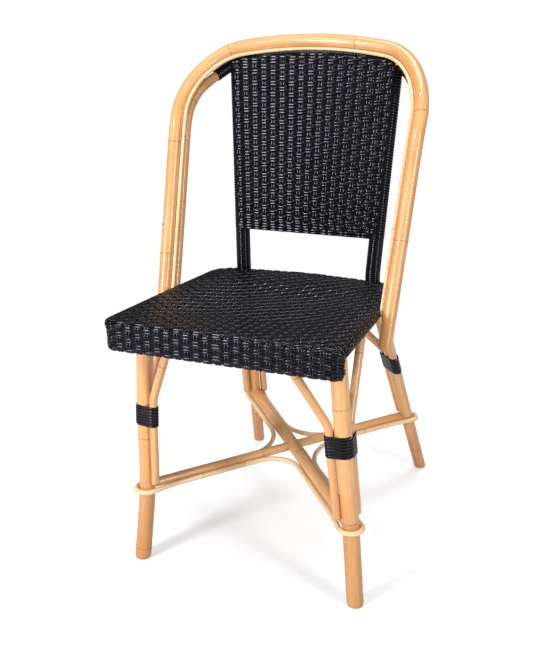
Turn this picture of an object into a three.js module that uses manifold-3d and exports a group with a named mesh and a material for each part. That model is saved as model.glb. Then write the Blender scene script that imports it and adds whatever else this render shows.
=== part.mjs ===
// A rattan bistro chair: bent poles, a woven box seat, a woven back panel,
// a crossed stretcher with trim canes, and cane bindings round the joints.
// Millimetres. X is across the chair, Y runs from front to back, Z is up.

import * as THREE from 'three';
import Module from 'manifold-3d';
import { mergeVertices } from 'three/addons/utils/BufferGeometryUtils.js';

const wasm = await Module();
wasm.setup();

// Driving dimensions: fits and allowances
const fitGap = 0.3;              // between faces that touch
const cutOverrun = 30;           // how far a cutting body runs past what it cuts

// Driving dimensions: poles and canes
const frontLegRadius = 14;
const rearPostRadius = 11.6;
const outerHoopRadius = 11.5;
const innerHoopRadius = 8.5;
const infillRadius = 3.2;
const rimRailRadius = 7.2;       // the rail that the rim of the seat is wrapped round
const bearerRadius = 6;          // the rail inside it, which rests on the legs and braces
const backRailRadius = 8;
const braceRadius = 7;
const throughRadius = 12;        // the stretcher that runs from the rear left to the front right
const halfRadius = 8.2;          // the two that butt against it
const trimRadius = 4.4;
const footBevel = 4;

// Driving dimensions: legs and posts, before the frame is centred
const frontFootSplay = 35.5;      // outwards from the top of the leg
const frontFootY = -250;
const frontRingSplay = 22.5;
const frontRingY = -239;
const frontBindingSplay = 12.5;
const frontBindingY = -246;
const frontTopInset = 38;         // inside the side of the seat
const frontTopY = -247;
const frontTopDrop = 18;          // below the front edge of the seat's top
const rearFootSplay = 58.5;       // outwards from the bend of the post
const rearFootY = 250;
const postBendInset = 53.5;       // inside the side of the seat
const postBendY = 64;
const postBendZ = 452;
const postBendRadius = 80;
const postTopSplay = 21;
const postTopZ = 828;
const backLean = 0.125;          // how far the back panel leans per unit of height
const ringZ = 143;               // height of the crossed stretcher
const frontWindingZ = 285;       // middle of the binding on each front leg
const rearWindingZ = 274;

// Driving dimensions: the seat
const seatFrontY = -325;
const seatRearY = 66;
const seatFrontHalf = 201;
const seatRearHalf = 178;
const seatSideBow = 1.5;
const seatRearBow = 18;
const seatFrontCorner = 21;
const seatRearCorner = 52;
const seatFrontTopZ = 476;
const seatSlope = 0.05;          // how far the seat falls per unit of depth
const seatEdgeRound = 9.6;
const seatSkin = 2.4;
const seatLip = 17;
const apronHeight = 52;          // the front is deeper than the sides
const apronEndInset = 4;         // its ends, inside the sides of the seat
const apronFrontCorner = 19;
const apronRearCorner = 4;
const apronFootRound = 8;
const apronRailEndInset = 22;
const seatDish = 9;
const seatDishFlatShare = 0.35;
const railClearance = 0.8;
const railBendShare = 1.5;       // least bend of a rail, in radii

// Driving dimensions: the outer hoop, seen from the front
const hoopFootZ = 403;
const hoopSeatGap = 5.6;         // between the hoop and the straight side of the seat
const hoopSplay = 0.0411;        // how far each leg leans outwards per unit of height
const hoopCornerZ = 841;
const hoopCrownZ = 871.5;
const hoopCornerRadius = 102;
const hoopCrownRadius = 890;
// and from the side
const hoopSideY = -98;           // where it passes the side of the seat
const hoopSideZ = 470;
const hoopLean = 0.354;
const hoopBendZ = 716;
const hoopSetback = 92;          // how far the crown is set back from the straight lean

// Driving dimensions: the inner hoop and the infill cane
const innerHoopAngle = 55;       // degrees round the outer hoop, from inward towards the back
const innerHoopFootZ = 451;      // it is fitted to the edge of the seat, and the infill cane too
const innerCornerDrop = 22;
const innerCrownDrop = 25.5;
const innerCornerRadius = 87;
const innerLeaveZ = 780;         // it leaves the outer hoop here
const innerJoinZ = 825;          // and lies in the plane of the panel from here
const infillLegAngle = 10;
const infillCrownAngle = -33;

// Driving dimensions: the back panel
const backBarZ = 540.5;
const panelSkin = 2.4;
const panelWebThickness = 3;
const panelWebForward = 12.8;    // its middle, in front of the middle lines of the poles
const panelTopReach = 12.5;      // how far its top sleeve runs past the posts, on the inner hoop
const panelColumns = 8;          // pairs of upright canes on each side of the middle one
const panelGroove = 0.6;         // depth of the grooves between them
const panelRibTopShare = 0.24;
const panelRibFootShare = 0.44;

// Driving dimensions: braces
const frontBraceMeetZ = 318;     // where a brace meets its leg, just above the binding
const rearBraceMeetZ = 299;
const frontBraceBendRadius = 40;
const rearBraceBendRadius = 15;
const braceEndZ = 153;
const rearBraceEndZ = 147;
const braceRunSteps = 4;
const frontBraceTopInset = 116;   // inside the side of the seat, as the next ones are
const frontBraceTopY = -300;
const frontSideBraceTopInset = 29;
const frontSideBraceTopY = -142;
const rearBraceTopInset = 168;
const rearBraceTopY = 64;
const rearSideBraceTopInset = -2;
const rearSideBraceTopY = -63;
const braceTopReach = 8;         // above the underside of the rim, before they are cut to it
const frontRunForwardAngle = 22; // degrees that the runs of the front braces sit forward
const sideRunOutwardAngle = 14;  // degrees that the runs of the side braces sit outwards
const rearRunBackAngle = 33;
const rearSideRunOutwardAngle = 31;

// Driving dimensions: stretcher and trim canes
const crossingY = -11;
const trimDrop = 6;              // how far the trim canes lie below the stretcher
const frontTrimRadius = 50;
const sideTrimRadius = 102;
const rearTrimRadius = 72;
const trimJointReach = 108;      // front joint of the canes, from the crossing
const trimJointRearReach = 212;  // rear joint of the canes, from the crossing
const trimStraightenReach = 48;  // where a cane starts to swing out round a leg
const ringSweep = 84;            // degrees of the ring on each side of an arm
const ringSteps = 8;

// Driving dimensions: windings of flat cane
const caneThickness = 1.4;
const caneClearance = 0.6;
const legCaneWidth = 4.8;
const legCanePitch = 5.6;
const legCaneTurns = 6;
const postCaneWidth = 3.2;
const postCanePitch = 4.9;
const postCaneTurns = 13;
const postCaneStartZ = 463;      // just above the seat
const hoopCaneWidth = 3;
const hoopCanePitch = 4.6;
const hoopCaneTurns = 7;
const stepsPerTurn = 10;

// Driving dimensions: nails, each with its place as a share of the hoop's length from the right foot,
// and its turn from inwards
const nailHeadRadius = 2.4;
const nailHeadHeight = 0.9;
const nailShankRadius = 0.9;
const nailLength = 31;
const crownNailLength = 18;
const nails = {
  left: { placeShare: 0.8754, angle: innerHoopAngle, length: nailLength },
  right: { placeShare: 0.1358, angle: innerHoopAngle, length: nailLength },
  corner: { placeShare: 0.2998, angle: 90, length: crownNailLength },
  crown: { placeShare: 0.4697, angle: 90, length: crownNailLength },
};

// Colours
const rattan = 0xd9a066;
const paleCane = 0xe8bd85;
const blackCane = 0x141316;
const steel = 0xb9bcc0;

const degrees = Math.PI / 180;
const straightTurn = 0.5 * degrees;   // a smaller turn than this isn't rounded
const vec = (x, y, z) => new THREE.Vector3(x, y, z);

function finish(colour, roughness, metalness = 0) {
  return new THREE.MeshStandardMaterial({ color: colour, roughness, metalness });
}

// The whole chair is moved so that its origin is under the middle of its box
const rearSlant = Math.hypot(1, (rearFootY - postBendY) / postBendZ);
const rearReach = rearFootY + rearPostRadius * rearSlant;
const frameShiftY = -(seatFrontY + rearReach) / 2;
const chair = new THREE.Group();

function addPiece(name, geometry, material) {
  const mesh = new THREE.Mesh(geometry, material);
  mesh.name = name;
  mesh.position.y = frameShiftY;
  chair.add(mesh);
  return mesh;
}

// A curve through points, with one step of an extrusion for each stretch between them
class PointPath extends THREE.Curve {
  constructor(points) {
    super();
    this.points = points;
  }

  getPoint(t, target = vec(0, 0, 0)) {
    const place = Math.min(Math.max(t, 0), 1) * (this.points.length - 1);
    const index = Math.min(Math.floor(place), this.points.length - 2);
    return target.copy(this.points[index]).lerp(this.points[index + 1], place - index);
  }

  getPointAt(u, target) {
    return this.getPoint(u, target);
  }

  getSpacedPoints(divisions) {
    return Array.from({ length: divisions + 1 }, (_, i) => this.getPoint(i / divisions));
  }

  getTangent(t, target = vec(0, 0, 0)) {
    const last = this.points.length - 1;
    const index = Math.round(t * last);
    const before = this.points[Math.max(index - 1, 0)];
    const after = this.points[Math.min(index + 1, last)];
    return target.copy(after).sub(before).normalize();
  }

  getTangentAt(u, target) {
    return this.getTangent(u, target);
  }
}

function circleShape(radius, sides) {
  const corners = Array.from({ length: sides }, (_, i) => {
    const angle = (2 * Math.PI * i) / sides;
    return new THREE.Vector2(radius * Math.cos(angle), radius * Math.sin(angle));
  });
  return new THREE.Shape(corners);
}

function pole(points, radius, sides) {
  return new THREE.ExtrudeGeometry(circleShape(radius, sides), {
    steps: points.length - 1,
    bevelEnabled: false,
    extrudePath: new PointPath(points),
  });
}

// Straight stretches joined by arcs. Each corner is {at, radius}
function filletPath(corners, arcSteps = 5) {
  const path = [corners[0].at.clone()];
  for (let i = 1; i < corners.length - 1; i += 1) {
    const { at, radius } = corners[i];
    const back = corners[i - 1].at.clone().sub(at).normalize();
    const ahead = corners[i + 1].at.clone().sub(at).normalize();
    const opening = back.angleTo(ahead);
    if (!radius || Math.PI - opening < straightTurn) {
      path.push(at.clone());
      continue;
    }
    const tangent = radius / Math.tan(opening / 2);
    const middle = back.clone().add(ahead).normalize();
    const centre = at.clone().addScaledVector(middle, radius / Math.sin(opening / 2));
    const from = at.clone().addScaledVector(back, tangent).sub(centre);
    const to = at.clone().addScaledVector(ahead, tangent).sub(centre);
    const sweep = from.angleTo(to);
    const steps = corners[i].steps ?? arcSteps;
    for (let k = 0; k <= steps; k += 1) {
      const share = k / steps;
      const point = from.clone().multiplyScalar(Math.sin((1 - share) * sweep) / Math.sin(sweep));
      point.addScaledVector(to, Math.sin(share * sweep) / Math.sin(sweep));
      path.push(point.add(centre));
    }
  }
  path.push(corners[corners.length - 1].at.clone());
  return path;
}

// Extra points where a straight stretch is longer than the step
function divided(points, longestStep) {
  const out = [points[0]];
  for (let i = 1; i < points.length; i += 1) {
    const count = Math.ceil(points[i].distanceTo(points[i - 1]) / longestStep);
    for (let k = 1; k <= count; k += 1) {
      out.push(points[i - 1].clone().lerp(points[i], k / count));
    }
  }
  return out;
}

// Joining and cutting
function solid(geometry) {
  const bare = geometry.clone();
  bare.deleteAttribute('normal');
  bare.deleteAttribute('uv');
  const merged = mergeVertices(bare, fitGap / 3000);
  return new wasm.Manifold(new wasm.Mesh({
    numProp: 3,
    vertProperties: new Float32Array(merged.attributes.position.array),
    triVerts: new Uint32Array(merged.index.array),
  }));
}

function geometryOf(body) {
  const mesh = body.getMesh();
  const count = mesh.numProp;
  const positions = new Float32Array((mesh.vertProperties.length / count) * 3);
  for (let i = 0; i < positions.length / 3; i += 1) {
    for (let axis = 0; axis < 3; axis += 1) {
      positions[i * 3 + axis] = mesh.vertProperties[i * count + axis];
    }
  }
  const geometry = new THREE.BufferGeometry();
  geometry.setAttribute('position', new THREE.BufferAttribute(positions, 3));
  geometry.setIndex(new THREE.BufferAttribute(new Uint32Array(mesh.triVerts), 1));
  return geometry;
}

// Cutting can leave slivers with no volume to speak of, which are dropped
function withoutSlivers(body) {
  const whole = body.decompose().filter((piece) => piece.volume() > fitGap ** 3);
  return whole.reduce((sum, piece) => sum.add(piece));
}

function cut(geometry, ...cutters) {
  let body = solid(geometry);
  for (const cutter of cutters) {
    body = body.subtract(solid(cutter));
  }
  return geometryOf(withoutSlivers(body));
}

// Mirrored copies keep their faces pointing out
function mirrored(geometry) {
  const copy = geometry.clone();
  if (!copy.index) {
    copy.setIndex(Array.from({ length: copy.attributes.position.count }, (_, i) => i));
  }
  copy.scale(-1, 1, 1);
  const index = copy.index.array;
  for (let i = 0; i < index.length; i += 3) {
    [index[i], index[i + 1]] = [index[i + 1], index[i]];
  }
  copy.deleteAttribute('normal');
  copy.deleteAttribute('uv');
  return copy;
}

const mirroredPoints = (points) => points.map((point) => vec(-point.x, point.y, point.z));

// Front legs, right side. The left one is its mirror image
const frontTopX = seatFrontHalf - frontTopInset;
const frontLegCurve = new THREE.CatmullRomCurve3([
  vec(frontTopX + frontFootSplay, frontFootY, 0),
  vec(frontTopX + frontRingSplay, frontRingY, ringZ),
  vec(frontTopX + frontBindingSplay, frontBindingY, frontWindingZ),
  vec(frontTopX, frontTopY, seatFrontTopZ - frontTopDrop),
]);

function pointAtHeight(path, height) {
  const index = path.findIndex((point, i) => i > 0 && point.z >= height);
  const low = path[index - 1];
  const high = path[index];
  return low.clone().lerp(high, (height - low.z) / (high.z - low.z));
}

const frontLegSteps = 8;
const frontLegPath = frontLegCurve.getSpacedPoints(frontLegSteps);

// Rear posts: a leg below the seat, bent at the seat, a side of the back panel above it
const postBendX = seatRearHalf - postBendInset;
const postTopX = postBendX + postTopSplay;
const postPlaneY = (height) => postBendY + (height - postBendZ) * backLean;
const postTop = vec(postTopX, postPlaneY(postTopZ), postTopZ);
const rearPostPath = filletPath([
  { at: vec(postBendX + rearFootSplay, rearFootY, 0) },
  { at: vec(postBendX, postBendY, postBendZ), radius: postBendRadius },
  { at: postTop },
]);

// A leg starts below the floor and is cut level there, with a rounded edge
function footEnvelope(foot, radius) {
  const flat = radius - footBevel;
  const wide = radius * 22;
  const profile = [
    [0, 0],
    [flat, 0],
    [flat + footBevel * 0.6, footBevel * 0.25],
    [radius + fitGap, footBevel],
    [wide, footBevel + wide],
    [wide, seatFrontTopZ * 2],
    [0, seatFrontTopZ * 2],
  ];
  const geometry = new THREE.LatheGeometry(profile.map(([x, y]) => new THREE.Vector2(x, y)), 14);
  geometry.rotateX(Math.PI / 2);
  geometry.translate(foot.x, foot.y, 0);
  return geometry;
}

function legGeometry(path, radius, sides) {
  const below = path[0].clone().sub(path[1]).normalize().multiplyScalar(cutOverrun);
  const points = [path[0].clone().add(below), ...path.slice(1)];
  const body = solid(pole(points, radius, sides));
  return geometryOf(body.intersect(solid(footEnvelope(path[0], radius))));
}

// Outer hoop: its legs stand beside the seat and lean outwards
const sideShare = (hoopSideY - seatFrontY) / (seatRearY - seatFrontY);
const seatHalfAtHoop = THREE.MathUtils.lerp(seatFrontHalf, seatRearHalf, sideShare);
const hoopHalfAt = (height) => (
  seatHalfAtHoop + hoopSeatGap + outerHoopRadius + (height - hoopSideZ) * hoopSplay
);
const hoopFootHalf = hoopHalfAt(hoopFootZ);
const hoopCornerHalf = hoopHalfAt(hoopCornerZ);

function hoopOutline(footHalf, footZ, cornerHalf, cornerZ, crownZ, cornerRadius) {
  return filletPath([
    { at: vec(footHalf, 0, footZ) },
    { at: vec(cornerHalf, 0, cornerZ), radius: cornerRadius, steps: 7 },
    { at: vec(0, 0, crownZ), radius: hoopCrownRadius, steps: 6 },
    { at: vec(-cornerHalf, 0, cornerZ), radius: cornerRadius, steps: 7 },
    { at: vec(-footHalf, 0, footZ) },
  ]);
}

const hoopCrownRise = hoopCrownZ - hoopBendZ;

function hoopSide(height) {
  const rise = Math.max(0, height - hoopBendZ) / hoopCrownRise;
  return hoopSideY + hoopLean * (height - hoopSideZ) + hoopSetback * rise * rise;
}

const hoopStep = 72;
const hoopFlat = divided(
  hoopOutline(hoopFootHalf, hoopFootZ, hoopCornerHalf, hoopCornerZ, hoopCrownZ, hoopCornerRadius),
  hoopStep,
);
const hoopPath = hoopFlat.map((point) => vec(point.x, hoopSide(point.z), point.z));

// Directions across the hoop at each of its points: inwards in its outline, and backwards
function hoopFrame(points, index) {
  const tangent = new PointPath(points).getTangent(index / (points.length - 1));
  const inward = vec(-tangent.z, 0, tangent.x).normalize();
  const backward = tangent.clone().cross(inward).normalize();
  return { inward, backward: backward.y < 0 ? backward.negate() : backward };
}

// Inner hoop: beside the outer one on the legs, in the plane of the panel at the crown
const innerReach = outerHoopRadius + innerHoopRadius + fitGap * 3;
const innerInset = innerReach * Math.cos(innerHoopAngle * degrees);

function innerHoopSide(height) {
  const rise = Math.max(0, height - hoopBendZ) / hoopCrownRise;
  const slope = hoopLean + (2 * hoopSetback * rise) / hoopCrownRise;
  const setback = innerReach * Math.sin(innerHoopAngle * degrees) * Math.hypot(1, slope);
  const beside = hoopSide(height) + setback;
  const share = THREE.MathUtils.smoothstep(height, innerLeaveZ, innerJoinZ);
  return THREE.MathUtils.lerp(beside, postPlaneY(height), share);
}

const hoopHalfAtSeat = hoopHalfAt(innerHoopFootZ);
const innerHoopPath = divided(
  hoopOutline(
    hoopHalfAtSeat - innerInset,
    innerHoopFootZ,
    hoopCornerHalf - innerInset,
    hoopCornerZ - innerCornerDrop,
    hoopCrownZ - innerCrownDrop,
    innerCornerRadius,
  ),
  hoopStep,
).map((point) => vec(point.x, innerHoopSide(point.z), point.z));

// Infill cane: in the groove between the two hoops, and under the crown
const infillReach = outerHoopRadius + infillRadius + fitGap;
const infillGuide = divided(
  hoopOutline(
    hoopHalfAtSeat, innerHoopFootZ, hoopCornerHalf, hoopCornerZ, hoopCrownZ, hoopCornerRadius),
  hoopStep,
).map((point) => vec(point.x, hoopSide(point.z), point.z));
const infillPath = infillGuide.map((point, index) => {
  const { inward, backward } = hoopFrame(infillGuide, index);
  const share = THREE.MathUtils.smoothstep(point.z, hoopBendZ, hoopCrownZ - innerCrownDrop);
  const angle = THREE.MathUtils.lerp(infillLegAngle, infillCrownAngle, share) * degrees;
  return point.clone()
    .addScaledVector(inward, infillReach * Math.cos(angle))
    .addScaledVector(backward, infillReach * Math.sin(angle));
});

// Seat outline, from the middle of the front edge round to the right
function seatOutline(inset, stepsPerCorner) {
  const front = seatFrontY + inset;
  const rear = seatRearY - inset;
  const middleY = (seatFrontY + seatRearY) / 2;
  const frontHalf = seatFrontHalf - inset;
  const rearHalf = seatRearHalf - inset;
  const middleHalf = (frontHalf + rearHalf) / 2 + seatSideBow;
  const easy = (seatRearY - seatFrontY) * 1.5;
  const half = [
    { at: vec(0, front, 0) },
    { at: vec(frontHalf, front, 0), radius: seatFrontCorner - inset, steps: stepsPerCorner },
    { at: vec(middleHalf, middleY, 0), radius: easy, steps: 2 },
    { at: vec(rearHalf, rear, 0), radius: seatRearCorner - inset, steps: stepsPerCorner },
    { at: vec(0, rear + seatRearBow, 0) },
  ];
  const right = filletPath(half);
  const left = mirroredPoints(right).reverse();
  return [...right.slice(0, -1), ...left.slice(0, -1)];
}

const seatTopZ = (y) => seatFrontTopZ - (y - seatFrontY) * seatSlope;

// A closed surface through rings of points, which all have the same count
function loft(ringPoints, topPoint, bottomPoint) {
  const points = ringPoints.flat();
  const count = ringPoints[0].length;
  const top = points.length;
  const bottom = top + 1;
  points.push(topPoint, bottomPoint);
  const index = [];
  for (let ring = 0; ring < ringPoints.length - 1; ring += 1) {
    for (let i = 0; i < count; i += 1) {
      const a = ring * count + i;
      const b = ring * count + ((i + 1) % count);
      index.push(a, a + count, b, b, a + count, b + count);
    }
  }
  const last = (ringPoints.length - 1) * count;
  for (let i = 0; i < count; i += 1) {
    const next = (i + 1) % count;
    index.push(top, i, next);
    index.push(bottom, last + next, last + i);
  }
  const geometry = new THREE.BufferGeometry();
  const positions = points.flatMap((point) => [point.x, point.y, point.z]);
  geometry.setAttribute('position', new THREE.Float32BufferAttribute(positions, 3));
  geometry.setIndex(index);
  return geometry;
}

// Rings of the seat, each a drop below its top and an inset from its edge
function ringSolid(rings, cornerSteps, topDrop, bottomDrop) {
  const centreY = (seatFrontY + seatRearY) / 2;
  const ringPoints = rings.map(({ inset, drop, share }) => {
    const dish = seatDish * (1 - THREE.MathUtils.smoothstep(share, seatDishFlatShare, 1));
    return seatOutline(inset, cornerSteps).map((point) => {
      const x = point.x * share;
      const y = centreY + (point.y - centreY) * share;
      return vec(x, y, seatTopZ(y) - drop - dish);
    });
  });
  const middle = (drop) => vec(0, centreY, seatTopZ(centreY) - drop);
  return loft(ringPoints, middle(topDrop), middle(bottomDrop));
}

// Insets and drops round a rounded edge, from the top down
function roundedEdge(radius, steps, inset, drop) {
  return Array.from({ length: steps + 1 }, (_, k) => {
    const angle = (k / steps) * 90 * degrees;
    return { inset: inset + radius * (1 - Math.sin(angle)), drop: drop + radius * (1 - Math.cos(angle)), share: 1 };
  });
}

// The same at the foot of a side, from the side down and inwards
function roundedFoot(radius, steps, inset, drop) {
  return Array.from({ length: steps + 1 }, (_, k) => {
    const angle = (k / steps) * 90 * degrees;
    return { inset: inset + radius * (1 - Math.cos(angle)), drop: drop - radius * (1 - Math.sin(angle)), share: 1 };
  });
}

// The room the seat takes up, with its fit gap: what comes near it stops at it
const seatSideHeight = 2 * (seatSkin + railClearance + rimRailRadius);
const rimCornerSteps = 4;
const rimRoundSteps = 2;

function seatEnvelope() {
  const radius = seatEdgeRound + fitGap;
  const rings = [
    ...roundedEdge(radius, rimRoundSteps, -fitGap, -fitGap),
    ...roundedFoot(radius, rimRoundSteps, -fitGap, seatSideHeight + fitGap),
  ];
  return ringSolid(rings, rimCornerSteps, -fitGap, seatSideHeight + fitGap);
}

// One closed skin over the rails: dished web, and a rounded rim wrapped round under the outer rail
function seatWeaveGeometry() {
  const under = seatSideHeight;
  const innerRound = seatEdgeRound - seatSkin;
  const bandInset = seatSkin + rimRailRadius * 2;
  const band = (drop, share) => ({ inset: bandInset, drop, share });
  const rings = [
    ...[0.3, 0.6, 0.85, 1].map((share) => band(0, share)),
    ...roundedEdge(seatEdgeRound, rimRoundSteps, 0, 0),
    ...roundedFoot(seatEdgeRound, rimRoundSteps, 0, under),
    { inset: seatLip, drop: under, share: 1 },
    { inset: seatLip, drop: under - seatSkin, share: 1 },
    ...roundedFoot(innerRound, rimRoundSteps, seatSkin, under - seatSkin).reverse(),
    ...roundedEdge(innerRound, rimRoundSteps, seatSkin, seatSkin).reverse(),
    ...[1, 0.85, 0.6, 0.3].map((share) => band(seatSkin, share)),
  ];
  return ringSolid(rings, rimCornerSteps, seatDish, seatDish + seatSkin);
}

// The apron hangs below the front of the rim: a narrow box round two straight rails, open at the back
const apronRear = seatFrontY + seatSideHeight;

function apronOutline(inset, rearY) {
  const front = seatFrontY + inset;
  const half = seatFrontHalf - apronEndInset - inset;
  const right = filletPath([
    { at: vec(0, front, 0) },
    { at: vec(half, front, 0), radius: apronFrontCorner - inset, steps: 4 },
    { at: vec(half, rearY, 0), radius: apronRearCorner, steps: 2 },
    { at: vec(0, rearY, 0) },
  ]);
  const left = mirroredPoints(right).reverse();
  return [...right.slice(0, -1), ...left.slice(0, -1)];
}

function apronSolid(rings, rearY) {
  const ringPoints = rings.map(({ inset, drop }) => (
    apronOutline(inset, rearY(inset)).map((point) => vec(point.x, point.y, seatTopZ(point.y) - drop))
  ));
  const middleY = (seatFrontY + apronRear) / 2;
  const middle = (drop) => vec(0, middleY, seatTopZ(middleY) - drop);
  return loft(ringPoints, middle(rings[0].drop), middle(rings[rings.length - 1].drop));
}

function apronBlock() {
  const rings = [
    { inset: 0, drop: seatEdgeRound + fitGap },
    ...roundedFoot(apronFootRound, 3, 0, apronHeight),
  ];
  return apronSolid(rings, (inset) => apronRear - inset);
}

function apronRoom() {
  const rings = [
    { inset: seatSkin, drop: seatEdgeRound },
    ...roundedFoot(apronFootRound - seatSkin, 3, seatSkin, apronHeight - seatSkin),
  ];
  return apronSolid(rings, () => apronRear + cutOverrun);
}

// Seat rails: the rim's own rail, and the bearer close inside it
const railLayers = {
  rim: {
    radius: rimRailRadius,
    inset: seatSkin + railClearance + rimRailRadius,
    drop: seatSkin + railClearance + rimRailRadius,
  },
  bearer: {
    radius: bearerRadius,
    inset: seatSkin + railClearance + rimRailRadius * 2 + fitGap + bearerRadius,
    drop: seatSideHeight - bearerRadius,
  },
};

function railPoints(points, drop) {
  return points.map((point) => vec(point.x, point.y, seatTopZ(point.y) - drop));
}

// Half the width of the rails' middle lines where the front and the side rails meet
function railJointX(inset) {
  const middleY = (seatFrontY + seatRearY) / 2;
  const frontHalf = seatFrontHalf - inset;
  const middleHalf = (seatFrontHalf + seatRearHalf) / 2 - inset + seatSideBow;
  const share = (frontTopY - seatFrontY - inset) / (middleY - seatFrontY - inset);
  return THREE.MathUtils.lerp(frontHalf, middleHalf, share);
}

// Bent round both front corners; it meets the side rails beside the legs
function frontRailPath({ radius, inset, drop }) {
  const y = seatFrontY + inset;
  const end = { at: vec(railJointX(inset), frontTopY - fitGap / 2, 0) };
  const corner = {
    at: vec(seatFrontHalf - inset, y, 0),
    radius: Math.max(seatFrontCorner - inset, radius * railBendShare),
    steps: 3,
  };
  const right = filletPath([end, corner, { at: vec(0, y, 0) }]).slice(0, -1);
  return railPoints([...right, ...mirroredPoints(right).reverse()], drop);
}

function sideRailPath({ inset, drop }) {
  const middleY = (seatFrontY + seatRearY) / 2;
  const middleHalf = (seatFrontHalf + seatRearHalf) / 2 - inset + seatSideBow;
  const rearHalf = seatRearHalf - inset;
  const rear = seatRearY - inset;
  const reach = postBendX + fitGap / 2;
  const points = filletPath([
    { at: vec(railJointX(inset), frontTopY + fitGap / 2, 0) },
    { at: vec(middleHalf, middleY, 0), radius: seatRearY - middleY, steps: 2 },
    { at: vec(rearHalf, rear, 0), radius: seatRearCorner - inset, steps: 5 },
    { at: vec(reach, rear + seatRearBow * (1 - reach / rearHalf), 0) },
  ]);
  return railPoints(points, drop);
}

function rearRailPath({ inset, drop }) {
  const rearHalf = seatRearHalf - inset;
  const rear = seatRearY - inset;
  const reach = postBendX - fitGap / 2;
  const endY = rear + seatRearBow * (1 - reach / rearHalf);
  const corners = [
    { at: vec(reach, endY, 0) },
    { at: vec(0, rear + seatRearBow, 0), radius: seatRearHalf * 3, steps: 4 },
    { at: vec(-reach, endY, 0) },
  ];
  return railPoints(filletPath(corners), drop);
}

// Two straight rails that hold the apron down, below the front of the rim
const apronRailY = seatFrontY + railLayers.rim.inset;
const apronRailDrops = {
  lower: apronHeight - railLayers.rim.drop,
  upper: (apronHeight - railLayers.rim.drop + railLayers.rim.drop) / 2,
};

function apronRailPath(drop) {
  const reach = seatFrontHalf - apronRailEndInset;
  return railPoints([vec(-reach, apronRailY, 0), vec(reach, apronRailY, 0)], drop);
}

// Braces: from under a seat rail down to a leg, then along the leg to the stretcher
function besideLeg(legPath, reach, side, slant, height) {
  const offset = vec(side.x * reach, side.y * reach * slant, 0);
  return pointAtHeight(legPath, height).add(offset);
}

function bracePath({ legPath, legRadius, slant, meetZ, bendRadius }, side, top, endZ = braceEndZ) {
  const reach = legRadius + braceRadius + fitGap * 2;
  const heights = Array.from({ length: braceRunSteps + 1 }, (_, i) => (
    THREE.MathUtils.lerp(meetZ, endZ, i / braceRunSteps)
  ));
  const run = heights.map((height) => ({ at: besideLeg(legPath, reach, side, slant, height) }));
  run[0] = { ...run[0], radius: bendRadius, steps: 3 };
  return filletPath([{ at: top }, ...run]);
}

const frontLegFacts = {
  legPath: frontLegPath,
  legRadius: frontLegRadius,
  slant: 1,
  meetZ: frontBraceMeetZ,
  bendRadius: frontBraceBendRadius,
};
const rearLegFacts = {
  legPath: rearPostPath,
  legRadius: rearPostRadius,
  slant: rearSlant,
  meetZ: rearBraceMeetZ,
  bendRadius: rearBraceBendRadius,
};

const towards = (angle) => vec(Math.cos(angle * degrees), Math.sin(angle * degrees), 0);

// Right side. Towards the middle is 180 degrees, the back is 90, the front is -90
const frontInnerSide = towards(180 + frontRunForwardAngle);
const frontBackSide = towards(90 - sideRunOutwardAngle);
const rearInnerSide = towards(180 - rearRunBackAngle);
const rearFrontSide = towards(-90 + rearSideRunOutwardAngle);

const underRails = (x, y) => vec(x, y, seatTopZ(y) - seatSideHeight + braceTopReach);
const bracePaths = {
  front_leg_inner: bracePath(
    frontLegFacts,
    frontInnerSide,
    underRails(seatFrontHalf - frontBraceTopInset, frontBraceTopY),
  ),
  front_leg_side: bracePath(
    frontLegFacts,
    frontBackSide,
    underRails(seatFrontHalf - frontSideBraceTopInset, frontSideBraceTopY),
  ),
  rear_leg_inner: bracePath(
    rearLegFacts,
    rearInnerSide,
    underRails(seatRearHalf - rearBraceTopInset, rearBraceTopY),
    rearBraceEndZ,
  ),
  rear_leg_side: bracePath(
    rearLegFacts,
    rearFrontSide,
    underRails(seatRearHalf - rearSideBraceTopInset, rearSideBraceTopY),
  ),
};

// Windings: one flat cane in one unbroken helix round a bundle of poles
let leastWindingGap = Infinity;

function windingGeometry(pathAt, turns, pitch, width, thickness) {
  const steps = turns * stepsPerTurn;
  const corners = [];
  for (let i = 0; i <= steps; i += 1) {
    const { surface, outward, along } = pathAt(i / stepsPerTurn);
    const inner = surface.clone().addScaledVector(outward, caneClearance);
    const outer = inner.clone().addScaledVector(outward, thickness);
    const half = along.clone().multiplyScalar(width / 2);
    corners.push([
      inner.clone().sub(half),
      inner.clone().add(half),
      outer.clone().add(half),
      outer.clone().sub(half),
    ]);
  }
  for (let i = 0; i <= steps - stepsPerTurn; i += 1) {
    const next = corners[i + stepsPerTurn];
    const gap = Math.min(corners[i][1].distanceTo(next[0]), corners[i][2].distanceTo(next[3]));
    leastWindingGap = Math.min(leastWindingGap, gap);
  }
  const positions = corners.flat().flatMap((point) => [point.x, point.y, point.z]);
  const index = [0, 2, 1, 0, 3, 2];
  for (let i = 0; i < steps; i += 1) {
    for (let k = 0; k < 4; k += 1) {
      const a = i * 4 + k;
      const b = i * 4 + ((k + 1) % 4);
      index.push(a, b, a + 4, b, b + 4, a + 4);
    }
  }
  const end = steps * 4;
  index.push(end, end + 1, end + 2, end, end + 2, end + 3);
  const geometry = new THREE.BufferGeometry();
  geometry.setAttribute('position', new THREE.Float32BufferAttribute(positions, 3));
  geometry.setIndex(index);
  return outwardFacing(geometry);
}

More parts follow.
